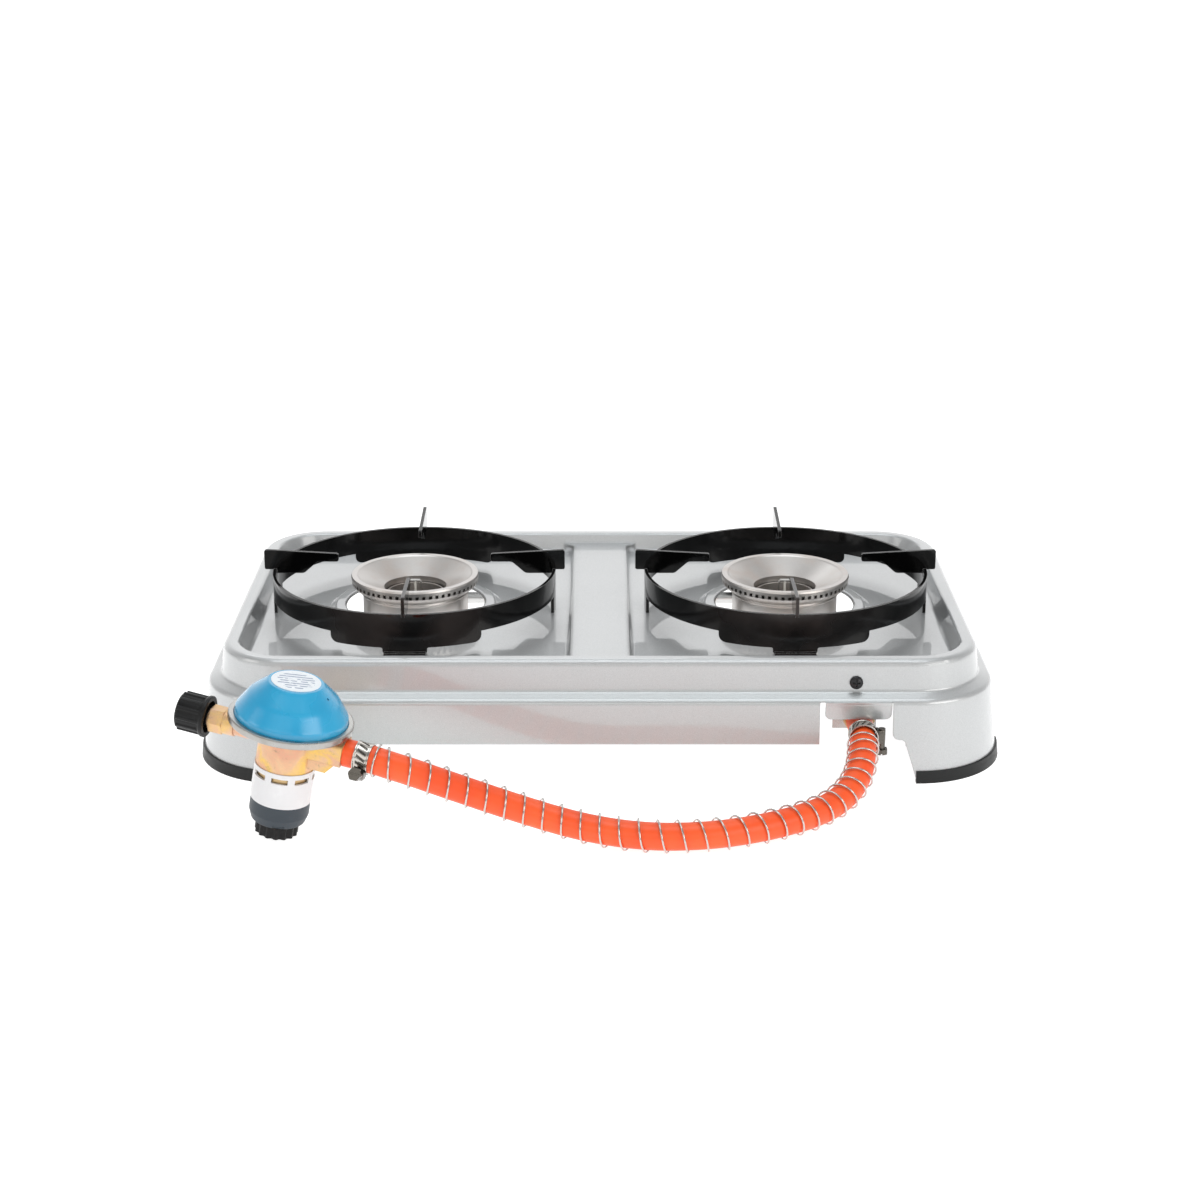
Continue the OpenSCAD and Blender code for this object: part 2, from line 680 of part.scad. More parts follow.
module pan_support(side) {
    color("#151515") at_burner(side) {
        translate([0, 0, ring_z - 15.2]) pipe(ring_r, ring_r - strip_t, 15.2);
        intersection() {
            translate([0, 0, floor_z]) pipe(ring_r, ring_r - strip_t, ring_z - floor_z);
            union() {
                rotate([90, 0, 0]) linear_extrude(height = 3 * ring_r, center = true) polygon(lobe_line);
                translate([-1.5 * ring_r, -14, floor_z]) cube([3 * ring_r, 28, 20]);
            }
        }
        for (turn = [0 : 90 : 270]) rotate([0, 0, turn])
            rotate([90, 0, 0]) linear_extrude(height = 2.2, center = true) polygon(prong_line);
        // the front and rear feet end in a lip
        for (turn = [0, 180]) rotate([0, 0, turn])
            translate([-13, ring_r - strip_t, floor_z]) cube([26, strip_t + 2.6, 1.6]);
    }
}

// ---- regulator ----

// The casting's section across its outlet boss, and the rib under the boss seen from its side
boss_section = rounded_loop([[-9, -6.5], [9, -6.5], [9, 6.5], [-9, 6.5]], [1.6, 1.6, 1.6, 1.6], 3);
rib_section = [[5, 47.3], [26, 47.3], [31, reg_axis_z - 6.4], [31, 58], [5, 58]];
pocket_z = crimp_z - 9.2;
seat_x = 17;
module regulator_body() {
    color("burlywood") at_regulator() difference() {
        union() {
            translate([0, 0, 44]) cylinder(r = 17, h = 22);
            rotate_extrude() polygon(rounded_loop(
                [[0, crimp_z - 10], [17, crimp_z - 10], [21, crimp_z - 5], [26, crimp_z - 2.4],
                 [flange_r - 5.4, crimp_z - 0.95], [flange_r - 2, crimp_z - 0.95],
                 [flange_r - 2, crimp_z], [0, crimp_z]],
                [0, 0, 4, 3, 0, 0, 0, 0], 4));
            translate([0, 0, reg_axis_z]) rotate([90, 0, 90])
                linear_extrude(height = boss_end) polygon(boss_section);
            rotate([90, 0, 0]) linear_extrude(height = 14, center = true) polygon(rib_section);
            translate([0, 0, reg_axis_z]) rotate([0, -90, 0]) {
                cylinder(r = 6.5, h = bonnet_at - 6);
                translate([0, 0, bonnet_at - 7]) cylinder(r = 7.3, h = 7);
            }
        }
        // chamber under the diaphragm, and the lever's pocket
        translate([0, 0, crimp_z - 2.4]) cylinder(r = 21, h = 4);
        translate([-6, -6, pocket_z]) cube([30, 12, 10]);
        // the way out of the pocket
        translate([seat_x + 2, 0, reg_axis_z]) rotate([0, 90, 0]) cylinder(r = 3, h = 40);
        // the shut-off valve's bore, and its way to the lever's seat
        translate([-8, 0, reg_axis_z]) rotate([0, -90, 0]) cylinder(r = 4, h = 40);
        translate([-9, 0, reg_axis_z]) rotate([0, 90, 0]) cylinder(r = 1.2, h = seat_x + 9);
        translate([seat_x, 0, reg_axis_z]) cylinder(r = 1.2, h = 4);
        // the way from the inlet stem to the shut-off valve
        translate([-10.5, 0, 50]) cylinder(r = 1.2, h = 7);
        translate([-10.5, 0, 50]) rotate([0, 90, 0]) cylinder(r = 1.2, h = 10.5);
        translate([0, 0, 40]) cylinder(r = 7, h = 8);
        translate([0, 0, 47]) cylinder(r = 1.4, h = 4);
    }
}

dome_line = rounded(
    [[flange_r - 2.4, crimp_z + 1.9], [flange_r - 3.4, crimp_z + 1.9], [flange_r - 3.7, crimp_z + 6],
     [26, 86.4], [17.9, 93.4], [16, dome_z], [0, dome_z]],
    [0, 0.4, 4, 14, 3, 1.4, 0], 6);
module regulator_dome() {
    color("deepskyblue") at_regulator() {
        difference() {
            rotate_extrude() polygon(concat(
                [[flange_r - 2.4, crimp_z + 1]], dome_line, [[0, dome_z - 1.5]],
                [for (p = flip(dome_line)) if (p[0] < flange_r - 4 && p[0] > 3 && p[1] > crimp_z + 4)
                    [p[0] - 1.4, p[1] - 1.5]],
                [[flange_r - 6, crimp_z + 1]]));
            // breather hole, on the side that faces away from the stove
            rotate([0, 0, -8]) translate([21, 0, 90.7]) rotate([0, 45, 0])
                cylinder(r = 0.8, h = 12, center = true);
        }
    }
}

module crimp_ring() {
    r = flange_r;
    color("silver") at_regulator() rotate_extrude() polygon(rounded_loop(
        [[r - 1.95, crimp_z - 1], [r - 4.6, crimp_z - 1], [r - 4.4, crimp_z - 1.7], [r, crimp_z - 1.6],
         [r, crimp_z + 2.6], [r - 3.2, crimp_z + 2.5], [r - 3.2, crimp_z + 1.95],
         [r - 1.95, crimp_z + 1.95]],
        [0, 0.2, 0.25, 0.8, 0.9, 0.2, 0, 0], 3));
}

module regulator_label() {
    color("white") at_regulator() translate([0, 0, dome_z]) cylinder(r = 14.2, h = 0.3);
}

module diaphragm() {
    fold = 1.1;
    color("dimgray") at_regulator() translate([0, 0, crimp_z]) rotate_extrude() polygon([
        [1.6, 0], [19, 0], [21, fold], [24, fold], [26, 0], [flange_r - 2.4, 0], [flange_r - 2.4, 1],
        [26.4, 1], [24.4, 1 + fold], [20.6, 1 + fold], [18.6, 1], [1.6, 1]]);
}

module diaphragm_plate() {
    color("silver") at_regulator() translate([0, 0, crimp_z]) {
        translate([0, 0, 1]) pipe(13, 1.55, 1);
        translate([0, 0, -4.4]) cylinder(r = 1.5, h = 11);
        translate([0, 0, 1.9]) cylinder(r = 2.5, h = 2);
    }
}

seat_z = dome_z - 5.5;
module pressure_spring() {
    foot = crimp_z + 2.05;
    color("silver") at_regulator() translate([0, 0, foot]) coil(8, 1.3, seat_z - 0.05 - foot, 6);
}

module spring_seat() {
    color("gray") at_regulator() translate([0, 0, seat_z]) difference() {
        union() {
            cylinder(r = 10, h = 1.5);
            cylinder(r = 5, h = 4);
        }
        translate([0, 0, -1]) cylinder(r = 2, h = 3);
    }
}

lever_z = crimp_z - 5.8;
module valve_lever() {
    color("silver") at_regulator() {
        translate([-3, -2.5, lever_z]) cube([22, 5, 1.2]);
        translate([12, 0, lever_z + 0.4]) rotate([90, 0, 0]) cylinder(r = 1.4, h = 10.4, center = true);
    }
}

module valve_pad() {
    color("black") at_regulator() translate([seat_x, 0, lever_z - 2]) cylinder(r = 1.9, h = 2);
}

module inlet_stem() {
    color("goldenrod") at_regulator() difference() {
        union() {
            translate([0, 0, 20.4]) cylinder(r = 5, h = 4);
            translate([0, 0, 24.4]) cylinder(r = 7, h = 23.4);
            translate([0, 0, 36.6]) cylinder(r = 15.9, h = 5.4);
        }
        translate([0, 0, 19]) cylinder(r = 1.4, h = 40);
    }
}

module inlet_seal() {
    color("black") at_regulator() translate([0, 0, 18.4]) pipe(4.9, 1.8, 2);
}

module inlet_collar() {
    color("gainsboro") at_regulator() difference() {
        union() {
            translate([0, 0, 22.4]) pipe(17.6, 16.2, 21.6);
            translate([0, 0, 42.4]) pipe(17.6, 7.05, 1.6);
        }
        for (i = [0:7]) rotate([0, 0, 11 + 45 * i])
            translate([17, 0, 39.5]) cube([6, 9.4, 3.2], center = true);
    }
}

module grip_ring() {
    color("darkslategray") at_regulator() difference() {
        rotate_extrude() polygon(rounded_loop(
            [[9.1, 8.6], [15.6, 8.6], [17.3, 14], [17.3, 22.4], [10.2, 22.4], [10.2, 16.4], [9.1, 16.4]],
            [0, 1.2, 2, 0, 0, 0, 0], 4));
        for (i = [0:3]) rotate([0, 0, 90 * i + 20])
            translate([16.4, 0, 9.4]) cube([4, 7, 2.6], center = true);
    }
}

star_outline = [for (a = [0:2:358]) (12 + 0.6 * cos(15 * a)) * [cos(a), sin(a)]];
module star_wheel() {
    color("black") at_regulator() difference() {
        union() {
            linear_extrude(height = 7.2) polygon(star_outline);
            translate([0, 0, 7]) cylinder(r = 9, h = 10);
            translate([0, 0, 16.5]) cylinder(r = 10.1, h = 1.6);
        }
        translate([0, 0, -1]) cylinder(r = 5.5, h = 30);
    }
}

module outlet_nozzle() {
    color("goldenrod") at_outlet() difference() {
        union() {
            translate([0, 0, boss_end - 8]) cylinder(r = 2.97, h = 8.2);
            translate([0, 0, boss_end]) barbed_tail(24, 1.9);
        }
        translate([0, 0, boss_end - 9]) cylinder(r = 1.9, h = 12);
    }
}

module valve_bonnet() {
    color("goldenrod") at_valve() difference() {
        union() {
            translate([0, 0, bonnet_at]) rotate([0, 0, 30]) hex(14, 8.4);
            translate([0, 0, bonnet_at]) cylinder(r = 5, h = valve_knob_from - bonnet_at - 0.1);
            translate([0, 0, bonnet_at - 8]) cylinder(r = 3.98, h = 8.5);
        }
        translate([0, 0, bonnet_at - 10]) cylinder(r = 3 + clear, h = 30);
    }
}

module valve_spindle() {
    color("silver") at_valve() difference() {
        translate([0, 0, 24]) cylinder(r = 3, h = valve_knob_from + 12 - 24);
        translate([0, 0, 23]) cylinder(r = 1.75, h = 9);
    }
}

module valve_needle() {
    color("gold") at_valve() {
        translate([0, 0, 8.1]) cylinder(r1 = 0.8, r2 = 1.7, h = 2);
        translate([0, 0, 10.1]) cylinder(r = 1.7, h = 18);
    }
}

valve_knob_l = 18;
module valve_knob() {
    color("black") at_valve() translate([0, 0, valve_knob_from]) difference() {
        union() {
            rotate_extrude() polygon(rounded_loop(
                [[0, 0], [12.2, 0], [12.2, 1.8], [10.7, 4], [10.7, valve_knob_l], [0, valve_knob_l]],
                [0, 0.5, 0.5, 1, 2, 0], 4));
            intersection() {
                translate([0, 0, 1.5]) cylinder(r = 11.5, h = valve_knob_l - 3);
                for (i = [0:11]) rotate([0, 0, 30 * i]) translate([10.2, 0, 1.5])
                    cylinder(r = 1.4, h = valve_knob_l - 3, $fn = 24);
            }
        }
        translate([0, 0, -1]) cylinder(r = 3, h = 13);
        translate([0, 0, -1]) pipe(9.4, 5.2, 5);
    }
}

// ---- hose ----

module hose() { color("orangered") tube(route, hose_d / 2, 12); }

module spring_guard() {
    color("silver")
        hollow_tube([for (i = [guard_first : guard_last]) route[i]], guard_d / 2, guard_d / 2 - 1.2);
}

clamp_w = 9;
clamp_turn = 240;
module clamp_band() { pipe(hose_d / 2 + 0.9, hose_d / 2, clamp_w); }
module clamp_screw() {
    translate([0, hose_d / 2 + 3.2, clamp_w / 2]) rotate([0, 90, 0]) {
        translate([0, 0, -5]) cylinder(r = 2.2, h = 13);
        translate([0, 0, 8]) difference() {
            hex(7, 3.4);
            translate([0, 0, 3.4]) cube([10, 1, 2], center = true);
        }
    }
}
module at_stove_clamp() { at_inlet() translate([0, 0, 143.2]) rotate([0, 0, 90]) children(); }
// Turned so that its screw sits low on the side that faces away from the stove
module at_regulator_clamp() {
    at_outlet() translate([0, 0, boss_end + 6.6]) rotate([0, 0, clamp_turn]) children();
}

module hose_clamps() {
    color("silver") {
        at_stove_clamp() clamp_band();
        at_regulator_clamp() clamp_band();
    }
}

module hose_clamp_screws() {
    color("silver") {
        at_stove_clamp() clamp_screw();
        at_regulator_clamp() clamp_screw();
    }
}

// ---- one node at a time ----

at_rest() body_shell();
at_rest() foot_trims();
at_rest() inlet_bracket();
at_rest() bracket_screw();
at_rest() manifold_pipe();
at_rest() hose_nozzle();
at_rest() nozzle_locknut();
at_rest() tap_body(left);  // tap_body_left
at_rest() tap_body(right);  // tap_body_right
at_rest() tap_bonnets();
at_rest() injector_jets();
at_rest() tap_plug(left);  // tap_plug_left
at_rest() tap_plug(right);  // tap_plug_right
at_rest() tap_spindle(left);  // tap_spindle_left
at_rest() tap_spindle(right);  // tap_spindle_right
at_rest() tap_spring(left);  // tap_spring_left
at_rest() tap_spring(right);  // tap_spring_right
at_rest() knob(left);  // knob_left
at_rest() knob(right);  // knob_right
at_rest() knob_bezels();
at_rest() burner_cup(left);  // burner_cup_left
at_rest() burner_cup(right);  // burner_cup_right
at_rest() mixing_tube(left);  // mixing_tube_left
at_rest() mixing_tube(right);  // mixing_tube_right
at_rest() burner_straps();
at_rest() burner_screws();
at_rest() igniter_electrode(left);  // igniter_electrode_left
at_rest() igniter_electrode(right);  // igniter_electrode_right
at_rest() ignition_leads();
at_rest() piezo_igniters();
at_rest() burner_cap(left);  // burner_cap_left
at_rest() burner_cap(right);  // burner_cap_right
at_rest() pan_support(left);  // pan_support_left
at_rest() pan_support(right);  // pan_support_right
at_rest() regulator_body();
at_rest() regulator_dome();
at_rest() crimp_ring();
at_rest() regulator_label();
at_rest() diaphragm();
at_rest() diaphragm_plate();
at_rest() pressure_spring();
at_rest() spring_seat();
at_rest() valve_lever();
at_rest() valve_pad();
at_rest() inlet_stem();
at_rest() inlet_seal();
at_rest() inlet_collar();
at_rest() grip_ring();
at_rest() star_wheel();
at_rest() outlet_nozzle();
at_rest() valve_bonnet();
at_rest() valve_spindle();
at_rest() valve_needle();
at_rest() valve_knob();
at_rest() hose();
at_rest() spring_guard();
at_rest() hose_clamps();
at_rest() hose_clamp_screws();
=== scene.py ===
"""Two-burner gas camping stove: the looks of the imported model, in metres, in the CAD's own frame."""

import json
from math import cos, radians, sin, tau

import bpy
from mathutils import Matrix, Vector


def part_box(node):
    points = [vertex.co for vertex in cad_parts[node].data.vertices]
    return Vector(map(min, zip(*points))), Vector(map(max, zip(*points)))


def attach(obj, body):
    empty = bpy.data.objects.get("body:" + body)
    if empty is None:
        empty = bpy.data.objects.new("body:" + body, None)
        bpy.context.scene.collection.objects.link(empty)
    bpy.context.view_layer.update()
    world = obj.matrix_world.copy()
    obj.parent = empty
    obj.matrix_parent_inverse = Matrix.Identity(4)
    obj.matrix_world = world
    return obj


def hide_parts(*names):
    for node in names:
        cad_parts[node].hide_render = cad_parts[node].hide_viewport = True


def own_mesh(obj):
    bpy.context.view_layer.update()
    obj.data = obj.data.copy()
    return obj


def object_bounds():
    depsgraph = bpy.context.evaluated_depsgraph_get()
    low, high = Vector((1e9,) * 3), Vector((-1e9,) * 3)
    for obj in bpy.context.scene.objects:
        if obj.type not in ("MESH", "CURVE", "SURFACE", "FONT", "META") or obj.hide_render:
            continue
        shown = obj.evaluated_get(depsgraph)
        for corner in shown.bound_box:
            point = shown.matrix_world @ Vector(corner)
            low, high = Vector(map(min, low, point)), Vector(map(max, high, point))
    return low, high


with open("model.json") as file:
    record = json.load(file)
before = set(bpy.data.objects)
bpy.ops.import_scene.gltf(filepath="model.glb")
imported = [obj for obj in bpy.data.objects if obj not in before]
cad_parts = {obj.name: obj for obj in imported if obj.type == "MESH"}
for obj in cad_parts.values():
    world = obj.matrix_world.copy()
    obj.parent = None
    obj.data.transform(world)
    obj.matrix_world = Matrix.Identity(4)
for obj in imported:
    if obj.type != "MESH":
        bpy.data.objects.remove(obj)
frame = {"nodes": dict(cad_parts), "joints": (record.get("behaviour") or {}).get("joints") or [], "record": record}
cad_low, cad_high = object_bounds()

MM = 0.001
NODES = frame["nodes"]
JOINTS = {joint["name"]: joint for joint in frame["joints"]}
SIDES = ("left", "right")


# ---- camera ----

SENSOR_WIDTH_MM = 36.0
LENS_MM = 68.96
CAMERA_AT = Vector((0, 1.4523, 0.5619))
AIM_AT = Vector((0, 0.010, 0.06665))


def make_camera():
    data = bpy.data.cameras.new("camera")
    data.sensor_width = SENSOR_WIDTH_MM
    data.lens = LENS_MM
    camera = bpy.data.objects.new("camera", data)
    camera.location = CAMERA_AT
    camera.rotation_euler = (AIM_AT - CAMERA_AT).to_track_quat("-Z", "Y").to_euler()
    bpy.context.scene.collection.objects.link(camera)
    bpy.context.scene.camera = camera


make_camera()


# ---- mesh helpers ----

def mesh_object(name, verts, faces, material, body, slot, angle):
    """A mesh piece of the object: its material, the CAD body it rides on, its material slot (not used) and the
    angle in degrees from which an edge is shaded as sharp."""
    mesh = bpy.data.meshes.new(name)
    mesh.from_pydata([tuple(v) for v in verts], [], [tuple(f) for f in faces])
    mesh.validate()
    mesh.shade_smooth()
    mesh.set_sharp_from_angle(angle=radians(angle))
    obj = bpy.data.objects.new(name, mesh)
    bpy.context.scene.collection.objects.link(obj)
    obj.data.materials.append(material)
    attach(obj, body)
    return obj


def smooth_path(points, step):
    """A Catmull-Rom curve through the points, sampled about every step metres."""
    p = [Vector(q) for q in points]
    p = [2 * p[0] - p[1]] + p + [2 * p[-1] - p[-2]]
    out = []
    for i in range(1, len(p) - 2):
        n = max(2, round((p[i + 1] - p[i]).length / step))
        for k in range(n):
            t = k / n
            out.append(0.5 * (2 * p[i] + (p[i + 1] - p[i - 1]) * t
                              + (2 * p[i - 1] - 5 * p[i] + 4 * p[i + 1] - p[i + 2]) * t ** 2
                              + (3 * p[i] - p[i - 1] - 3 * p[i + 1] + p[i + 2]) * t ** 3))
    out.append(p[-2])
    return out


def path_frames(path):
    """(point, side, normal) at each point of a path, turning as little as possible along the way."""
    frames = []
    side = None
    for i, point in enumerate(path):
        tangent = (path[min(i + 1, len(path) - 1)] - path[max(i - 1, 0)]).normalized()
        if side is None:
            side = tangent.cross(Vector((0, 0, 1))).normalized()
        side = (side - tangent * side.dot(tangent)).normalized()
        frames.append((point, side, side.cross(tangent)))
    return frames


def sweep(path, radius, sides):
    """Vertices and faces of a round tube along a path, with flat ends."""
    verts = []
    for point, side, normal in path_frames(path):
        verts += [point + radius * (cos(tau * k / sides) * side + sin(tau * k / sides) * normal)
                  for k in range(sides)]
    last = (len(path) - 1) * sides
    faces = [(a + k, a + (k + 1) % sides, a + sides + (k + 1) % sides, a + sides + k)
             for a in range(0, last, sides) for k in range(sides)]
    faces += [tuple(range(sides - 1, -1, -1)), tuple(last + k for k in range(sides))]
    return verts, faces


def lathe(profile, segments, place):
    """Vertices and faces of a closed profile of (radius, height) turned about the place's own Z."""
    m = len(profile)
    verts = [place @ Vector((r * cos(tau * i / segments), r * sin(tau * i / segments), z))
             for i in range(segments) for r, z in profile]
    faces = [(i * m + k, (i + 1) % segments * m + k,
              (i + 1) % segments * m + (k + 1) % m, i * m + (k + 1) % m)
             for i in range(segments) for k in range(m)]
    return verts, faces


def joined(*parts):
    """Several (vertices, faces) as one."""
    verts, faces = [], []
    for v, f in parts:
        faces += [tuple(len(verts) + k for k in face) for face in f]
        verts += list(v)
    return verts, faces


# ---- materials ----

class Shader:
    """A Principled material built up from procedural layers."""

    def __init__(self, name):
        self.material = bpy.data.materials.new(name)
        self.material.use_nodes = True
        self.tree = self.material.node_tree
        self.tree.nodes.clear()
        self.out = self.tree.nodes.new("ShaderNodeOutputMaterial")
        self.bsdf = self.tree.nodes.new("ShaderNodeBsdfPrincipled")
        self.link(self.bsdf.outputs[0], self.out.inputs[0])
        self.coords = self.tree.nodes.new("ShaderNodeTexCoord").outputs["Object"]
        self.normal = None

    def link(self, a, b):
        self.tree.links.new(a, b)

    def feed(self, socket, value):
        """Gives a socket another socket's output, a number or a colour."""
        if hasattr(value, "is_linked"):
            self.link(value, socket)
        elif isinstance(value, tuple) and len(value) == 3 and len(socket.default_value) == 4:
            socket.default_value = (*value, 1.0)
        else:
            socket.default_value = value

    def set(self, **values):
        """Principled inputs by name, with _ for a space."""
        for key, value in values.items():
            self.feed(self.bsdf.inputs[key.replace("_", " ")], value)

    def math(self, operation, a, b=0.0):
        node = self.tree.nodes.new("ShaderNodeMath")
        node.operation = operation
        self.feed(node.inputs[0], a)
        self.feed(node.inputs[1], b)
        return node.outputs[0]

    def times(self, *factors):
        product = factors[0]
        for factor in factors[1:]:
            product = self.math("MULTIPLY", product, factor)
        return product

    def noise(self, scale, detail=3.0, rough=0.5, stretch=(1, 1, 1), offset=(0, 0, 0), distortion=0.0):
        mapping = self.tree.nodes.new("ShaderNodeMapping")
        mapping.inputs["Scale"].default_value = stretch
        mapping.inputs["Location"].default_value = offset
        self.link(self.coords, mapping.inputs["Vector"])
        node = self.tree.nodes.new("ShaderNodeTexNoise")
        node.inputs["Scale"].default_value = scale
        node.inputs["Detail"].default_value = detail
        node.inputs["Roughness"].default_value = rough
        node.inputs["Distortion"].default_value = distortion
        self.link(mapping.outputs[0], node.inputs["Vector"])
        return node.outputs["Fac"]

    def spread(self, value, low, high, to_low=0.0, to_high=1.0):
        """Takes low..high of a value smoothly to to_low..to_high, and clamps beyond."""
        node = self.tree.nodes.new("ShaderNodeMapRange")
        node.interpolation_type = "SMOOTHSTEP"
        for socket, number in zip(node.inputs[1:5], (low, high, to_low, to_high)):
            socket.default_value = number
        self.link(value, node.inputs[0])
        return node.outputs[0]

    def mix(self, factor, a, b, blend="MIX"):
        """Colour a, with colour b over it by a factor."""
        node = self.tree.nodes.new("ShaderNodeMix")
        node.data_type = "RGBA"
        node.blend_type = blend
        for index, value in ((0, factor), (6, a), (7, b)):
            self.feed(node.inputs[index], value)
        return node.outputs[2]

    def ramp(self, value, stops):
        """A colour for each position in 0..1."""
        node = self.tree.nodes.new("ShaderNodeValToRGB")
        elements = node.color_ramp.elements
        while len(elements) < len(stops):
            elements.new(0.5)
        for element, (position, colour) in zip(elements, stops):
            element.position = position
            element.color = (*colour, 1.0)
        self.link(value, node.inputs[0])
        return node.outputs[0]

    def axis(self, letter):
        """One of the CAD frame's coordinates of the shaded point, in metres."""
        split = self.tree.nodes.new("ShaderNodeSeparateXYZ")
        self.link(self.coords, split.inputs[0])
        return split.outputs[letter]

    def dot(self, a, b):
        """The dot product of two vectors."""
        node = self.tree.nodes.new("ShaderNodeVectorMath")
        node.operation = "DOT_PRODUCT"
        self.feed(node.inputs[0], a)
        self.feed(node.inputs[1], b)
        return node.outputs["Value"]

    def bevelled(self, radius):
        """The surface normal as if edges were rounded to this radius."""
        node = self.tree.nodes.new("ShaderNodeBevel")
        node.samples = 4
        self.feed(node.inputs["Radius"], radius)
        return node.outputs[0]

    def round_edges(self, radius):
        """Edges catch the light as if rounded to this radius."""
        self.normal = self.bevelled(radius)
        return self

    def edge_mask(self, radius, low=0.01, high=0.12):
        """1 along the sharp edges of the shape and 0 on its faces."""
        true_normal = self.tree.nodes.new("ShaderNodeNewGeometry").outputs["Normal"]
        bend = self.math("SUBTRACT", 1.0, self.dot(self.bevelled(radius), true_normal))
        return self.spread(bend, low, high)

    def bump(self, height, depth):
        """Adds a relief of this depth in metres to the ones there are."""
        node = self.tree.nodes.new("ShaderNodeBump")
        node.inputs["Distance"].default_value = depth
        self.link(height, node.inputs["Height"])
        if self.normal is not None:
            self.link(self.normal, node.inputs["Normal"])
        self.normal = node.outputs[0]
        return self

    def done(self):
        if self.normal is not None:
            self.link(self.normal, self.bsdf.inputs["Normal"])
        return self.material


REAR_WALL_FROM_Y = 100 * MM
BRIDGE_HALF_WIDTH = 35 * MM
BRIDGE_TO_Y = 120 * MM


def painted_body():
    """Silver-grey stoving paint: fine flake, a clear gloss on top and faint dust. Low on the rear wall it's
    painted a little cooler, to cancel the warm light the hose throws on it, and its folds are rounder beside the
    bridge between the wells."""
    s = Shader("body_paint")
    flake = s.noise(2600, 1.0)
    cloud = s.noise(5.0, 3.0)
    dust = s.noise(60, 4.0, 0.7)
    base = s.mix(s.spread(flake, 0.3, 0.7), (0.475, 0.485, 0.49), (0.565, 0.575, 0.58))
    base = s.mix(s.spread(cloud, 0.3, 0.7, 0.0, 0.10), base, (0.44, 0.445, 0.45))
    base = s.mix(s.spread(dust, 0.62, 0.86, 0.0, 0.10), base, (0.40, 0.39, 0.37))
    from_middle = s.math("ABSOLUTE", s.axis("X"))
    # Painted offset for light: low on the rear wall, near the hose, the colour is cooled against the hose's warm
    # bounce light.
    painted_bounce_offset = s.times(s.spread(s.axis("Z"), 10 * MM, 75 * MM, 1.0, 0.0),
                   s.math("GREATER_THAN", s.axis("Y"), REAR_WALL_FROM_Y),
                   s.spread(from_middle, 150 * MM, 200 * MM, 1.0, 0.0))
    base = s.mix(painted_bounce_offset, base, (0.925, 0.995, 0.985), "MULTIPLY")
    bridge = s.times(s.math("LESS_THAN", from_middle, BRIDGE_HALF_WIDTH),
                     s.math("LESS_THAN", s.axis("Y"), BRIDGE_TO_Y))
    s.round_edges(s.spread(bridge, 0.0, 1.0, 0.9 * MM, 3.5 * MM))
    s.bump(s.noise(420, 2.0), 0.006 * MM).bump(s.noise(22, 2.0), 0.035 * MM)
    rough = s.spread(s.noise(14, 4.0, 0.6), 0.2, 0.8, 0.36, 0.44)
    s.set(Base_Color=base, Metallic=0.62, Roughness=rough, Specular_IOR_Level=0.5,
          Coat_Weight=1.0, Coat_IOR=1.6, Coat_Roughness=s.spread(dust, 0.35, 0.8, 0.025, 0.07))
    return s.done()


def trim_rubber():
    s = Shader("trim_rubber")
    grain = s.noise(900, 3.0, 0.6)
    scuff = s.noise(70, 5.0, 0.7, (1, 1, 4))
    base = s.mix(s.spread(scuff, 0.55, 0.8, 0.0, 0.5), (0.006, 0.0065, 0.0065), (0.020, 0.021, 0.020))
    s.round_edges(0.4 * MM).bump(grain, 0.03 * MM)
    s.set(Base_Color=base, Roughness=s.spread(scuff, 0.3, 0.8, 0.36, 0.55), Specular_IOR_Level=0.35)
    return s.done()


def enamel():
    """Gloss black vitreous enamel, with a painted highlight along its edges and a painted brownish sheen on the
    camera's side.
    """
    s = Shader("enamel")
    pits = s.noise(1100, 2.0, 0.6)
    orange_peel = s.noise(150, 2.0)
    # Painted highlight: a lighter grey along the edges, broken up by noise, in place of light caught on rounded
    # edges.
    painted_edge_highlight = s.times(s.edge_mask(0.5 * MM, 0.02, 0.20), s.spread(s.noise(70, 4.0, 0.7), 0.30, 0.55))
    # Painted reflection: a lighter brown in noisy patches on the camera's side of the rings.
    painted_near_sheen = s.times(s.spread(s.noise(24, 3.0), 0.30, 0.62), s.spread(s.axis("Y"), 75 * MM, 120 * MM))
    base = s.mix(painted_near_sheen, (0.0018, 0.0018, 0.0019), (0.038, 0.028, 0.0255))
    base = s.mix(s.times(painted_edge_highlight, 0.8), base, (0.30, 0.30, 0.30))
    base = s.mix(s.times(s.spread(pits, 0.72, 0.80), 0.2), base, (0.05, 0.05, 0.05))
    s.round_edges(0.5 * MM).bump(orange_peel, 0.05 * MM)
    s.bump(s.noise(38, 2.0), 0.12 * MM).bump(pits, 0.005 * MM)
    s.set(Base_Color=base, Roughness=s.spread(orange_peel, 0.2, 0.8, 0.05, 0.11),
          Specular_IOR_Level=0.28)
    return s.done()


def metal(name, colour, rough=(0.2, 0.35), brushed=(1, 1, 1), grain=500, stain=None, stain_amount=0.3,
          edges=0.3, metallic=1.0):
    """Bare metal: a fine directional grain, uneven shine and slight stains."""
    s = Shader(name)
    lines = s.noise(grain, 3.0, 0.6, brushed)
    patch = s.noise(45, 4.0, 0.65)
    base = s.mix(s.spread(lines, 0.25, 0.75, 0.0, 0.35), colour, tuple(0.78 * c for c in colour))
    if stain:
        base = s.mix(s.spread(patch, 0.5, 0.8, 0.0, stain_amount), base, stain)
    s.round_edges(edges * MM).bump(lines, 0.01 * MM)
    s.set(Base_Color=base, Metallic=metallic, Roughness=s.spread(patch, 0.25, 0.8, *rough))
    return s.done()


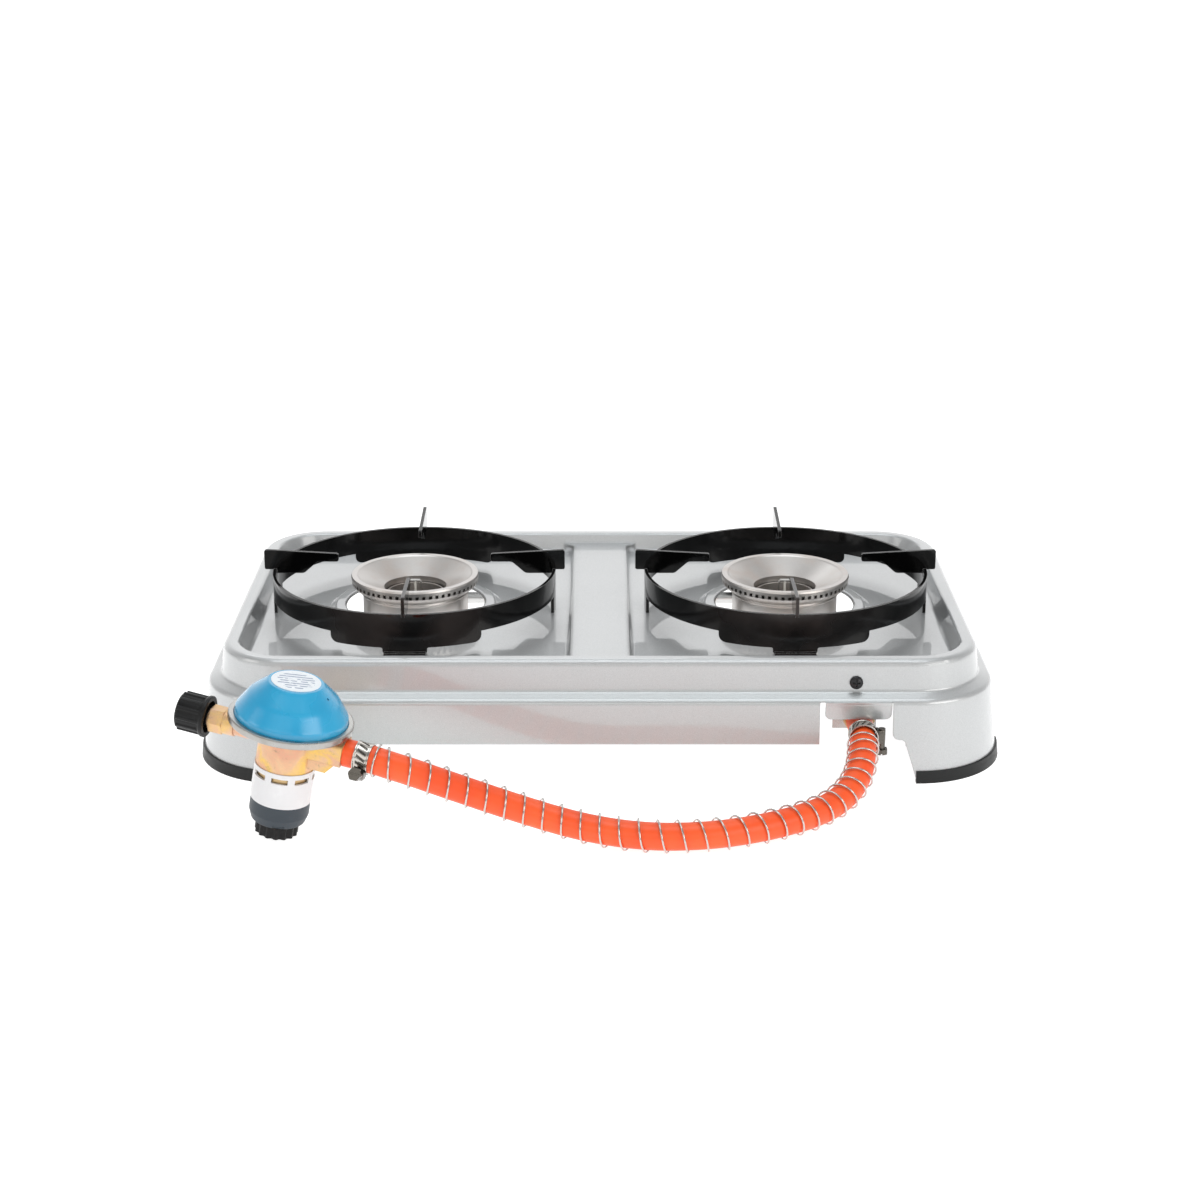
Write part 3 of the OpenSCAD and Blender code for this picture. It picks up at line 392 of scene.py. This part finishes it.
def burner_steel():
    """Satin stainless steel with faint heat colours and turning marks."""
    s = Shader("burner_steel")
    fine = s.noise(900, 3.0, 0.7, (1, 1, 6))
    tarnish = s.noise(38, 4.0, 0.6, offset=(0.3, 0.1, 0.0))
    base = s.mix(s.spread(fine, 0.25, 0.75, 0.0, 0.5), (0.60, 0.575, 0.555), (0.50, 0.48, 0.465))
    base = s.mix(s.spread(tarnish, 0.44, 0.72, 0.0, 0.45), base, (0.54, 0.44, 0.38))
    s.round_edges(0.3 * MM).bump(fine, 0.004 * MM)
    s.set(Base_Color=base, Metallic=0.92, Roughness=s.spread(tarnish, 0.2, 0.8, 0.30, 0.42))
    return s.done()


def chromate():
    """Yellow chromated casting: gold, peach and pink patches over a grainy metal."""
    s = Shader("chromate")
    patch = s.noise(34, 2.5, 0.5, distortion=1.0)
    drift = s.noise(17, 1.0, offset=(0.02, 0.01, 0.0))
    fine = s.noise(700, 3.0, 0.6)
    dirt = s.noise(190, 5.0, 0.75)
    base = s.ramp(patch, [(0.32, (0.70, 0.36, 0.24)), (0.43, (0.76, 0.48, 0.28)),
                          (0.50, (0.84, 0.55, 0.12)), (0.57, (0.76, 0.42, 0.27)),
                          (0.70, (0.54, 0.46, 0.20))])
    base = s.mix(s.spread(drift, 0.42, 0.58, 0.0, 0.5), base, (0.72, 0.46, 0.36))
    base = s.mix(s.spread(fine, 0.3, 0.7, 0.0, 0.3), base, (0.56, 0.40, 0.26))
    base = s.mix(s.spread(dirt, 0.56, 0.74, 0.0, 0.6), base, (0.26, 0.22, 0.14))
    s.round_edges(0.5 * MM).bump(fine, 0.03 * MM).bump(s.noise(140, 3.0), 0.08 * MM)
    s.set(Base_Color=base, Metallic=0.5, Roughness=s.spread(patch, 0.3, 0.7, 0.32, 0.46))
    return s.done()


def blue_paint():
    s = Shader("blue_paint")
    cloud = s.noise(30, 3.0)
    scuff = s.spread(s.noise(320, 5.0, 0.8), 0.70, 0.80)
    base = s.mix(s.spread(cloud, 0.3, 0.7), (0.008, 0.32, 0.58), (0.016, 0.37, 0.64))
    base = s.mix(s.times(scuff, 0.25), base, (0.25, 0.45, 0.6))
    s.round_edges(0.5 * MM).bump(s.noise(260, 2.0), 0.02 * MM).bump(s.noise(60, 2.0), 0.06 * MM)
    s.set(Base_Color=base, Roughness=s.spread(cloud, 0.3, 0.7, 0.22, 0.30), Coat_Weight=0.6,
          Coat_Roughness=0.2)
    return s.done()


def plastic(name, colour, rough=(0.35, 0.5), grain=1200, depth=0.02, wear=0.25, shine=0.5):
    """Moulded plastic or ceramic: a fine leather grain, scuffs and lighter worn edges."""
    s = Shader(name)
    scuff = s.noise(80, 5.0, 0.7)
    light = tuple(min(1.0, 1.9 * c + 0.02) for c in colour)
    base = s.mix(s.spread(scuff, 0.5, 0.85, 0.0, 0.35), colour, light)
    base = s.mix(s.times(s.edge_mask(0.4 * MM), wear), base, light)
    s.round_edges(0.4 * MM).bump(s.noise(grain, 2.0, 0.6), depth * MM)
    s.set(Base_Color=base, Roughness=s.spread(scuff, 0.3, 0.8, *rough), Specular_IOR_Level=shine)
    return s.done()


def knob_plastic(side):
    """The knobs' plastic, with a white line on the grip that shows where the knob points."""
    s = Shader("knob_plastic_" + side)
    knob_x, _, knob_z = JOINTS["tap_turn_" + side]["pos_m"]
    off_centre = s.math("ABSOLUTE", s.math("SUBTRACT", s.axis("X"), knob_x))
    line = s.times(s.math("LESS_THAN", off_centre, 0.7 * MM),
                   s.math("GREATER_THAN", s.axis("Z"), knob_z + 5 * MM),
                   s.math("LESS_THAN", s.axis("Y"), cad_low[1] + 0.6 * MM))
    scuff = s.noise(80, 5.0, 0.7)
    base = s.mix(s.spread(scuff, 0.5, 0.85, 0.0, 0.35), (0.010, 0.010, 0.0105), (0.035, 0.035, 0.036))
    base = s.mix(line, base, (0.75, 0.75, 0.74))
    s.round_edges(0.4 * MM).bump(s.noise(1200, 2.0, 0.6), 0.02 * MM)
    s.set(Base_Color=base, Roughness=s.spread(scuff, 0.3, 0.8, 0.32, 0.48))
    return s.done()


def hose_rubber():
    s = Shader("hose_rubber")
    skin = s.noise(650, 3.0, 0.6)
    cloud = s.noise(22, 3.0)
    base = s.mix(s.spread(cloud, 0.3, 0.7), (0.93, 0.088, 0.014), (1.0, 0.125, 0.026))
    base = s.mix(s.spread(skin, 0.55, 0.8, 0.0, 0.2), base, (0.75, 0.07, 0.012))
    s.bump(skin, 0.03 * MM).bump(cloud, 0.1 * MM)
    s.set(Base_Color=base, Roughness=s.spread(skin, 0.3, 0.8, 0.34, 0.46), Specular_IOR_Level=0.45)
    return s.done()


# The regulator's own directions and centre line, from the joints that turn along them
STEM_WAY = Vector(JOINTS["coupling_spin"]["axis"])
OUTLET_WAY = -Vector(JOINTS["shutoff_turn"]["axis"])
SIDE_WAY = STEM_WAY.cross(OUTLET_WAY)
STEM_FOOT = Vector(JOINTS["coupling_spin"]["pos_m"]) - 8 * MM * STEM_WAY
CROSS_HEIGHT = (Vector(JOINTS["shutoff_turn"]["pos_m"]) - STEM_FOOT).dot(STEM_WAY)
REGULATOR = (Matrix.Translation(STEM_FOOT)
             @ Matrix((OUTLET_WAY, SIDE_WAY, STEM_WAY)).transposed().to_4x4())

LABEL_AT = STEM_FOOT + 95.2 * MM * STEM_WAY
LABEL_TURN = radians(20)
LABEL_PRINT_R = 11 * MM
LABEL_ROW = 3 * MM


def label_film():
    """A white label with broken bars in place of wording, laid out in the label's own plane."""
    s = Shader("label_film")
    shift = s.tree.nodes.new("ShaderNodeVectorMath")
    shift.operation = "SUBTRACT"
    s.link(s.coords, shift.inputs[0])
    shift.inputs[1].default_value = LABEL_AT
    place = shift.outputs[0]
    across = s.dot(place, OUTLET_WAY * cos(LABEL_TURN) + SIDE_WAY * sin(LABEL_TURN))
    down = s.dot(place, SIDE_WAY * cos(LABEL_TURN) - OUTLET_WAY * sin(LABEL_TURN))
    row = s.math("FRACT", s.math("DIVIDE", s.math("ADD", down, 20 * MM), LABEL_ROW))
    bar = s.math("LESS_THAN", s.math("ABSOLUTE", s.math("SUBTRACT", row, 0.5)), 0.2)
    breaks = s.math("GREATER_THAN", s.noise(300, 0.0), 0.40)
    reach = s.math("SUBTRACT", LABEL_PRINT_R ** 2, s.times(down, down))
    reach = s.math("SQRT", s.math("MAXIMUM", reach, 0.0))
    inside = s.math("LESS_THAN", s.math("ABSOLUTE", across), reach)
    grain = s.spread(s.noise(300, 3.0), 0.3, 0.8, 0.0, 0.08)
    base = s.mix(grain, (0.80, 0.84, 0.88), (0.62, 0.68, 0.76))
    base = s.mix(s.times(bar, breaks, inside, 0.85), base, (0.10, 0.16, 0.30))
    s.bump(s.noise(240, 2.0), 0.01 * MM)
    s.set(Base_Color=base, Roughness=s.spread(s.noise(60, 3.0), 0.3, 0.8, 0.25, 0.4), Coat_Weight=0.3)
    return s.done()


MATERIALS = {
    "body_paint": painted_body(),
    "trim_rubber": trim_rubber(),
    "zinc_steel": metal("zinc_steel", (0.44, 0.435, 0.42), (0.22, 0.38), grain=380,
                        stain=(0.30, 0.26, 0.20), stain_amount=0.5),
    "black_steel": metal("black_steel", (0.02, 0.02, 0.022), (0.30, 0.42), metallic=0.4, edges=0.25),
    "aluminium_pipe": metal("aluminium_pipe", (0.78, 0.78, 0.77), (0.22, 0.36), brushed=(0.3, 1, 1)),
    "brass": metal("brass", (0.54, 0.385, 0.20), (0.24, 0.38), grain=700, stain=(0.45, 0.30, 0.14)),
    "black_plastic": plastic("black_plastic", (0.004, 0.004, 0.0043), (0.34, 0.5), shine=0.3),
    "burner_steel": burner_steel(),
    "ceramic": plastic("ceramic", (0.84, 0.82, 0.76), (0.10, 0.2), grain=300, depth=0.01, wear=0.0),
    "lead_insulation": plastic("lead_insulation", (0.75, 0.74, 0.70), (0.4, 0.55), wear=0.0),
    "enamel": enamel(),
    "chromate": chromate(),
    "blue_paint": blue_paint(),
    "label_film": label_film(),
    "diaphragm_rubber": plastic("diaphragm_rubber", (0.02, 0.02, 0.02), (0.5, 0.7), wear=0.0),
    "spring_steel": metal("spring_steel", (0.60, 0.57, 0.54), (0.14, 0.24), grain=900, edges=0.1),
    "white_coat": plastic("white_coat", (0.74, 0.74, 0.755), (0.16, 0.26), grain=420, depth=0.012,
                          wear=0.0),
    "grey_plastic": plastic("grey_plastic", (0.028, 0.040, 0.053), (0.42, 0.55)),
    "hose_rubber": hose_rubber(),
    "clamp_steel": metal("clamp_steel", (0.56, 0.53, 0.49), (0.14, 0.28), grain=900, edges=0.12),
}
# Dark steel for the clamp saddles and screws; it also colours the ring under each band, which is painted shade for
# the slots.
SADDLE_STEEL_AND_SLOT_SHADE = metal("saddle_steel_and_slot_shade", (0.13, 0.12, 0.105), (0.2, 0.36), grain=700, edges=0.2)
SLOT_OF = {part["node"]: part["material_slot"] for part in frame["record"]["subparts"]}
for node, obj in NODES.items():
    obj.data.materials.clear()
    obj.data.materials.append(MATERIALS[SLOT_OF[node]])
for side in SIDES:
    NODES["knob_" + side].data.materials[0] = knob_plastic(side)
NODES["hose_clamp_screws"].data.materials[0] = SADDLE_STEEL_AND_SLOT_SHADE


# ---- spark clips ----

CLIP_HALF_SPAN = 4.2 * MM
CLIP_HALF_DEPTH = 1.7 * MM
CLIP_THICK = 0.35 * MM
CLIP_DROP = 9 * MM
CLIP_RISE = 1.0 * MM
CLIP_SHOULDER = 0.5 * MM
CLIP_CORNER = 1.2 * MM
CLIP_RING_FROM = 9.6 * MM
CLIP_RING_TO = 8.9 * MM
CLIP_RING_INNER_R = 2.45 * MM
CLIP_RING_OUTER_R = CLIP_HALF_SPAN + 0.1 * MM


def spark_clip(side):
    """A little bent strip that stands on a ring round a spark electrode and earths the spark."""
    low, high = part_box("igniter_electrode_" + side)
    x_mid, y_mid = (low.x + high.x) / 2, (low.y + high.y) / 2
    top = high.z
    foot = top - CLIP_DROP
    line = [(-CLIP_HALF_SPAN, foot), (-CLIP_HALF_SPAN, top - CLIP_SHOULDER),
            (-CLIP_HALF_SPAN + CLIP_CORNER, top + CLIP_RISE)]
    line += [(-x, z) for x, z in reversed(line)]
    narrower = 1 - CLIP_THICK / CLIP_HALF_SPAN * 1.4
    inner = [(x * narrower, max(z - CLIP_THICK, foot)) for x, z in line]
    loop = line + inner[::-1]
    n = len(loop)
    verts = [(x_mid + x, y_mid + y, z) for y in (-CLIP_HALF_DEPTH, CLIP_HALF_DEPTH) for x, z in loop]
    faces = [(k, (k + 1) % n, n + (k + 1) % n, n + k) for k in range(n)]
    for k in range(len(line) - 1):
        quad = (k, k + 1, n - 2 - k, n - 1 - k)
        faces += [quad[::-1], tuple(n + q for q in quad)]
    ring = lathe([(CLIP_RING_INNER_R, top - CLIP_RING_FROM), (CLIP_RING_OUTER_R, top - CLIP_RING_FROM),
                  (CLIP_RING_OUTER_R, top - CLIP_RING_TO), (CLIP_RING_INNER_R, top - CLIP_RING_TO)],
                 24, Matrix.Translation((x_mid, y_mid, 0)))
    mesh_object("spark_clip_" + side, *joined((verts, faces), ring), MATERIALS["zinc_steel"], "stove",
                "zinc_steel", angle=30)


for side in SIDES:
    spark_clip(side)


# ---- springs ----

COIL_STEPS = 28
WIRE_SIDES = 8


def coil_spring(node, body, foot, way, radius, wire, turns):
    """A coil in place of a CAD spring, from its fixed foot along its way."""
    reach = [(v.co - foot).dot(way) for v in NODES[node].data.vertices]
    length = max(reach) - 2 * wire
    side = way.orthogonal().normalized()
    other = way.cross(side)
    steps = turns * COIL_STEPS
    path = [foot + way * (wire + length * i / steps)
            + radius * (cos(tau * i / COIL_STEPS) * side + sin(tau * i / COIL_STEPS) * other)
            for i in range(steps + 1)]
    piece = mesh_object(node + "_coil", *sweep(path, wire, WIRE_SIDES), MATERIALS["spring_steel"], body,
                        "spring_steel", angle=60)
    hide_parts(node)
    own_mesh(piece)
    return piece


def knob_spring(side):
    low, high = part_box("tap_spring_" + side)
    foot = Vector(((low.x + high.x) / 2, high.y, (low.z + high.z) / 2))
    coil_spring("tap_spring_" + side, "tap_" + side, foot, Vector((0, -1, 0)), 4.5 * MM, 0.3 * MM, 3)


def pressure_spring():
    top = max((v.co - STEM_FOOT).dot(STEM_WAY) for v in NODES["pressure_spring"].data.vertices)
    return coil_spring("pressure_spring", "stove", STEM_FOOT + top * STEM_WAY, -STEM_WAY, 8 * MM,
                       0.65 * MM, 6)


for side in SIDES:
    knob_spring(side)
pressure_coil = pressure_spring()


# ---- hose, wire guard and clamps ----

HOSE_R = 8 * MM
ROUTE_MM = [
    (-160, 134, 30), (-160, 143, 30), (-159.9, 152, 29.7), (-159.5, 161, 28.5), (-158.6, 170, 26.3),
    (-157.2, 179.5, 23.4), (-154.8, 189, 20.1), (-151, 198.2, 16.8), (-145.6, 207, 13.9),
    (-138.6, 215.4, 11.8), (-130, 223.4, 10.5), (-120, 231.2, 10), (-108.6, 238.8, 10),
    (-96, 245.8, 10), (-82, 251.8, 10), (-67, 256.4, 10), (-51, 259, 10), (-35, 259.4, 10),
    (-19, 257.4, 10.2), (-3, 254.2, 11.1), (13, 251, 13.2), (29, 248.6, 16.8), (45, 247.2, 21.5),
    (61, 246.8, 27), (77, 247, 33), (92, 247.6, 38.9), (106, 248.4, 44.6), (120, 248.6, 49.6),
    (132.4, 246.2, 52.8), (144.7, 243.4, 55),
]
ROUTE = [Vector(point) * MM for point in ROUTE_MM]

GUARD_R = 9.95 * MM
GUARD_WIRE_R = 0.6 * MM
GUARD_STEPS = 22
GUARD_FROM_Y = 163.2 * MM
GUARD_TO_REACH = 51.5 * MM
END_TURN_PITCH = 1.5 * MM
PITCH_AT_STOVE = 8.2 * MM
PITCH_GAIN = 3.4 * MM
PITCH_GAIN_OVER = 110 * MM


def hose_tube():
    """The rubber hose, and the path it follows."""
    path = smooth_path(ROUTE, 2.5 * MM)
    piece = mesh_object("gas_hose", *sweep(path, HOSE_R, 40), MATERIALS["hose_rubber"], "stove",
                        "hose_rubber", angle=50)
    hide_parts("hose")
    return piece, path


def guard_pitch(from_stove, from_regulator):
    """The wire's pitch: closed end turns, and opener coils away from the stove."""
    if min(from_stove, from_regulator) < END_TURN_PITCH:
        return END_TURN_PITCH
    return PITCH_AT_STOVE + PITCH_GAIN * min(1.0, from_stove / PITCH_GAIN_OVER)


def helix_along(path, radius):
    """Points of a wire wound round a path."""
    travelled = [0.0]
    for a, b in zip(path, path[1:]):
        travelled.append(travelled[-1] + (b - a).length)
    length = travelled[-1]
    frames = path_frames(path)
    out = []
    at = turned = 0
    distance = 0.0
    while distance < length:
        while at < len(path) - 2 and travelled[at + 1] < distance:
            at += 1
        t = (distance - travelled[at]) / (travelled[at + 1] - travelled[at])
        point, side, normal = (a.lerp(b, t) for a, b in zip(frames[at], frames[at + 1]))
        angle = -tau * turned / GUARD_STEPS
        out.append(point + radius * (cos(angle) * side + sin(angle) * normal))
        distance += guard_pitch(distance, length - distance) / GUARD_STEPS
        turned += 1
    return out


def wire_guard():
    """The open coil of wire between the two clamps."""
    path = [point for point in smooth_path(ROUTE, 2 * MM)
            if point.y > GUARD_FROM_Y and (point - STEM_FOOT).dot(OUTLET_WAY) > GUARD_TO_REACH]
    wire = helix_along(path, GUARD_R - GUARD_WIRE_R)
    piece = mesh_object("wire_guard", *sweep(wire, GUARD_WIRE_R, WIRE_SIDES),
                        MATERIALS["spring_steel"], "stove", "spring_steel", angle=60)
    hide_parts("spring_guard")
    return piece


CLAMP_WIDTH = 9 * MM
BAND_R = HOSE_R + 0.16 * MM
BAND_THICK = 0.5 * MM
LIP_LIFT = 0.25 * MM
BAND_ROWS_MM = (-4.5, -3.9, -3.6, -2.7, 2.7, 3.6, 3.9, 4.5)
LIP_ROWS = (0, 1, 6, 7)
SLOT_ROW = 3
SLOT_HALF_MM = 2.7
SLOTS = 15
SLOT_STOPS = (0.0, 0.28, 0.72, 0.86)
SLOT_STOP = 1
SLOT_SLANT = 0.7


def clamp_band(place):
    """A perforated worm-drive band: rolled lips and slanted slots all round."""
    columns = [(i + stop) / SLOTS for i in range(SLOTS) for stop in SLOT_STOPS]
    steps, m = len(columns), len(BAND_ROWS_MM)

    def at(c, r, outer):
        row = BAND_ROWS_MM[r]
        slant = max(-SLOT_HALF_MM, min(SLOT_HALF_MM, row)) / (2 * SLOT_HALF_MM)
        swing = tau * (columns[c] + SLOT_SLANT / SLOTS * slant)
        lift = LIP_LIFT if r in LIP_ROWS else 0.0
        radius = BAND_R + (lift + BAND_THICK if outer else 0.4 * lift)
        return place @ Vector((radius * cos(swing), radius * sin(swing), row * MM + CLAMP_WIDTH / 2))

    def index(c, r, outer):
        return (steps * m if outer else 0) + c % steps * m + r

    verts = [at(c, r, outer) for outer in (False, True) for c in range(steps) for r in range(m)]
    faces = []
    for c in range(steps):
        has_slot = c % len(SLOT_STOPS) == SLOT_STOP
        for r in range(m - 1):
            corners = ((c, r), (c + 1, r), (c + 1, r + 1), (c, r + 1))
            if has_slot and r == SLOT_ROW:
                for a, b in zip(corners, corners[1:] + corners[:1]):
                    faces.append((index(*a, True), index(*a, False), index(*b, False), index(*b, True)))
            else:
                faces.append(tuple(index(*corner, True) for corner in corners))
                faces.append(tuple(index(*corner, False) for corner in corners[:1] + corners[:0:-1]))
        for r in (0, m - 1):
            rim = (index(c, r, False), index(c + 1, r, False), index(c + 1, r, True), index(c, r, True))
            faces.append(rim if r == 0 else rim[::-1])
    return verts, faces


# The saddle's outline, across the band and out from the hose's centre, and its sections along the worm
SADDLE_OUTLINE_MM = [(-4.2, 8.2), (-4.3, 8.9), (-3.3, 9.2), (-3.0, 11.4), (-1.8, 13.1), (0, 13.5),
                     (1.8, 13.1), (3.0, 11.4), (3.3, 9.2), (4.3, 8.9), (4.2, 8.2)]
SADDLE_SECTIONS = ((-4.2 * MM, 0.94), (-3.8 * MM, 1.0), (3.8 * MM, 1.0), (4.2 * MM, 0.94))


def clamp_saddle(place):
    """The pressed saddle that holds the worm over the band."""
    verts = [place @ Vector((along, HOSE_R + (out * MM - HOSE_R) * scale,
                             across * scale * MM + CLAMP_WIDTH / 2))
             for along, scale in SADDLE_SECTIONS for across, out in SADDLE_OUTLINE_MM]
    m, last = len(SADDLE_OUTLINE_MM), len(SADDLE_SECTIONS) - 1
    faces = [(i * m + k, i * m + (k + 1) % m, (i + 1) * m + (k + 1) % m, (i + 1) * m + k)
             for i in range(last) for k in range(m)]
    return verts, faces + [tuple(range(m - 1, -1, -1)), tuple(last * m + k for k in range(m))]


# Each clamp's place: its own Z runs along the hose, its own Y towards its screw
CLAMP_PLACES = (
    Matrix.Translation(Vector((-160, 153.2, 30)) * MM)
    @ Matrix.Rotation(radians(-90), 4, "X") @ Matrix.Rotation(radians(90), 4, "Z"),
    REGULATOR @ Matrix.Translation((0, 0, CROSS_HEIGHT)) @ Matrix.Rotation(radians(90), 4, "Y")
    @ Matrix.Translation((0, 0, 41.1 * MM)) @ Matrix.Rotation(radians(240), 4, "Z"),
)
# A thin dark ring just under each band: painted shade that shows through the band's slots.
SLOT_SHADE_INNER_R = HOSE_R + 0.02 * MM
SLOT_SHADE_OUTER_R = HOSE_R + 0.14 * MM
SLOT_SHADE_FROM = 0.2 * MM
SLOT_SHADE_TO = CLAMP_WIDTH - SLOT_SHADE_FROM
SLOT_SHADE_PROFILE = [(SLOT_SHADE_INNER_R, SLOT_SHADE_FROM), (SLOT_SHADE_OUTER_R, SLOT_SHADE_FROM),
                 (SLOT_SHADE_OUTER_R, SLOT_SHADE_TO), (SLOT_SHADE_INNER_R, SLOT_SHADE_TO)]


def hose_clamps():
    """Both clamps' bands, and in darker steel each saddle and a ring under each band, painted shade that shows
    through the slots.
    """
    bands = mesh_object("clamp_bands", *joined(*[clamp_band(place) for place in CLAMP_PLACES]),
                        MATERIALS["clamp_steel"], "stove", "clamp_steel", angle=30)
    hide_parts("hose_clamps")
    saddles_and_slot_shade = joined(*[lathe(SLOT_SHADE_PROFILE, 64, place) for place in CLAMP_PLACES],
                  *[clamp_saddle(place) for place in CLAMP_PLACES])
    saddle_and_shade_piece = mesh_object("clamp_saddles_and_slot_shade", *saddles_and_slot_shade, SADDLE_STEEL_AND_SLOT_SHADE, "stove", "clamp_steel", angle=30)
    return [bands, saddle_and_shade_piece]


hose_piece, hose_path = hose_tube()
guard_piece = wire_guard()
clamp_pieces = hose_clamps()


# ---- floor, lights and world ----

FLOOR_HALF_SIZE = 14.0
COOL, WARM = (0.92, 0.97, 1.0), (1.0, 0.985, 0.955)

# Brightness of the world by direction: from behind the object to behind the camera, level to overhead
BACKDROP_Y, BACKDROP_SHADE = (-0.93, -0.3), (1.16, 0.47)
ZENITH_Z, ZENITH_SHADE = (0.45, 0.95), (1.0, 0.85)


def make_floor():
    """A lit white table, so that hardly any shadow falls on it."""
    size = FLOOR_HALF_SIZE
    mesh = bpy.data.meshes.new("studio_floor")
    mesh.from_pydata([(-size, -size, 0), (size, -size, 0), (size, size, 0), (-size, size, 0)], [],
                     [(0, 1, 2, 3)])
    floor = bpy.data.objects.new("studio_floor", mesh)
    bpy.context.scene.collection.objects.link(floor)
    s = Shader("floor_white")
    s.set(Base_Color=s.mix(s.noise(3.0), (0.55, 0.55, 0.55), (0.60, 0.60, 0.60)), Roughness=0.8,
          Specular_IOR_Level=0.0, Emission_Color=(1.0, 1.0, 1.0), Emission_Strength=0.86)
    floor.data.materials.append(s.done())


def area_light(name, at, aim, width, height, power, tint):
    data = bpy.data.lights.new(name, "AREA")
    data.shape = "RECTANGLE"
    data.size = width
    data.size_y = height
    data.energy = power
    data.color = tint
    light = bpy.data.objects.new(name, data)
    light.location = at
    light.rotation_euler = (Vector(aim) - Vector(at)).to_track_quat("-Z", "Y").to_euler()
    bpy.context.scene.collection.objects.link(light)


def make_world():
    """A white room: bright behind the object, dimmer behind the camera and overhead."""
    world = bpy.data.worlds.new("studio")
    world.use_nodes = True
    tree = world.node_tree
    split = tree.nodes.new("ShaderNodeSeparateXYZ")
    tree.links.new(tree.nodes.new("ShaderNodeTexCoord").outputs["Generated"], split.inputs[0])
    both = tree.nodes.new("ShaderNodeMath")
    both.operation = "MULTIPLY"
    fades = (("Y", *BACKDROP_Y, *BACKDROP_SHADE), ("Z", *ZENITH_Z, *ZENITH_SHADE))
    for factor, (letter, *numbers) in zip(both.inputs, fades):
        fade = tree.nodes.new("ShaderNodeMapRange")
        fade.interpolation_type = "SMOOTHSTEP"
        for socket, number in zip(fade.inputs[1:5], numbers):
            socket.default_value = number
        tree.links.new(split.outputs[letter], fade.inputs[0])
        tree.links.new(fade.outputs[0], factor)
    background = tree.nodes["Background"]
    background.inputs[0].default_value = (1.0, 1.0, 1.0, 1.0)
    tree.links.new(both.outputs[0], background.inputs[1])
    bpy.context.scene.world = world


make_floor()
make_world()
area_light("top_soft", (0.0, 0.1, 1.6), (0, 0, 0), 1.3, 0.9, 8.2, COOL)
area_light("front_soft", (0.5, 1.75, 0.9), (0, 0.1, 0.05), 1.6, 0.8, 4.0, WARM)
area_light("corner_soft", (-1.35, 1.3, 0.75), (-0.1, 0.05, 0.05), 1.3, 0.8, 9.5, WARM)
area_light("side_soft", (1.6, 0.7, 0.7), (0.1, 0.05, 0.05), 0.7, 0.8, 3.0, WARM)
area_light("knob_side_soft", (0.3, -1.7, 1.5), (0, 0, 0.05), 0.9, 0.6, 1.6, COOL)
bpy.context.scene.view_settings.view_transform = "Standard"
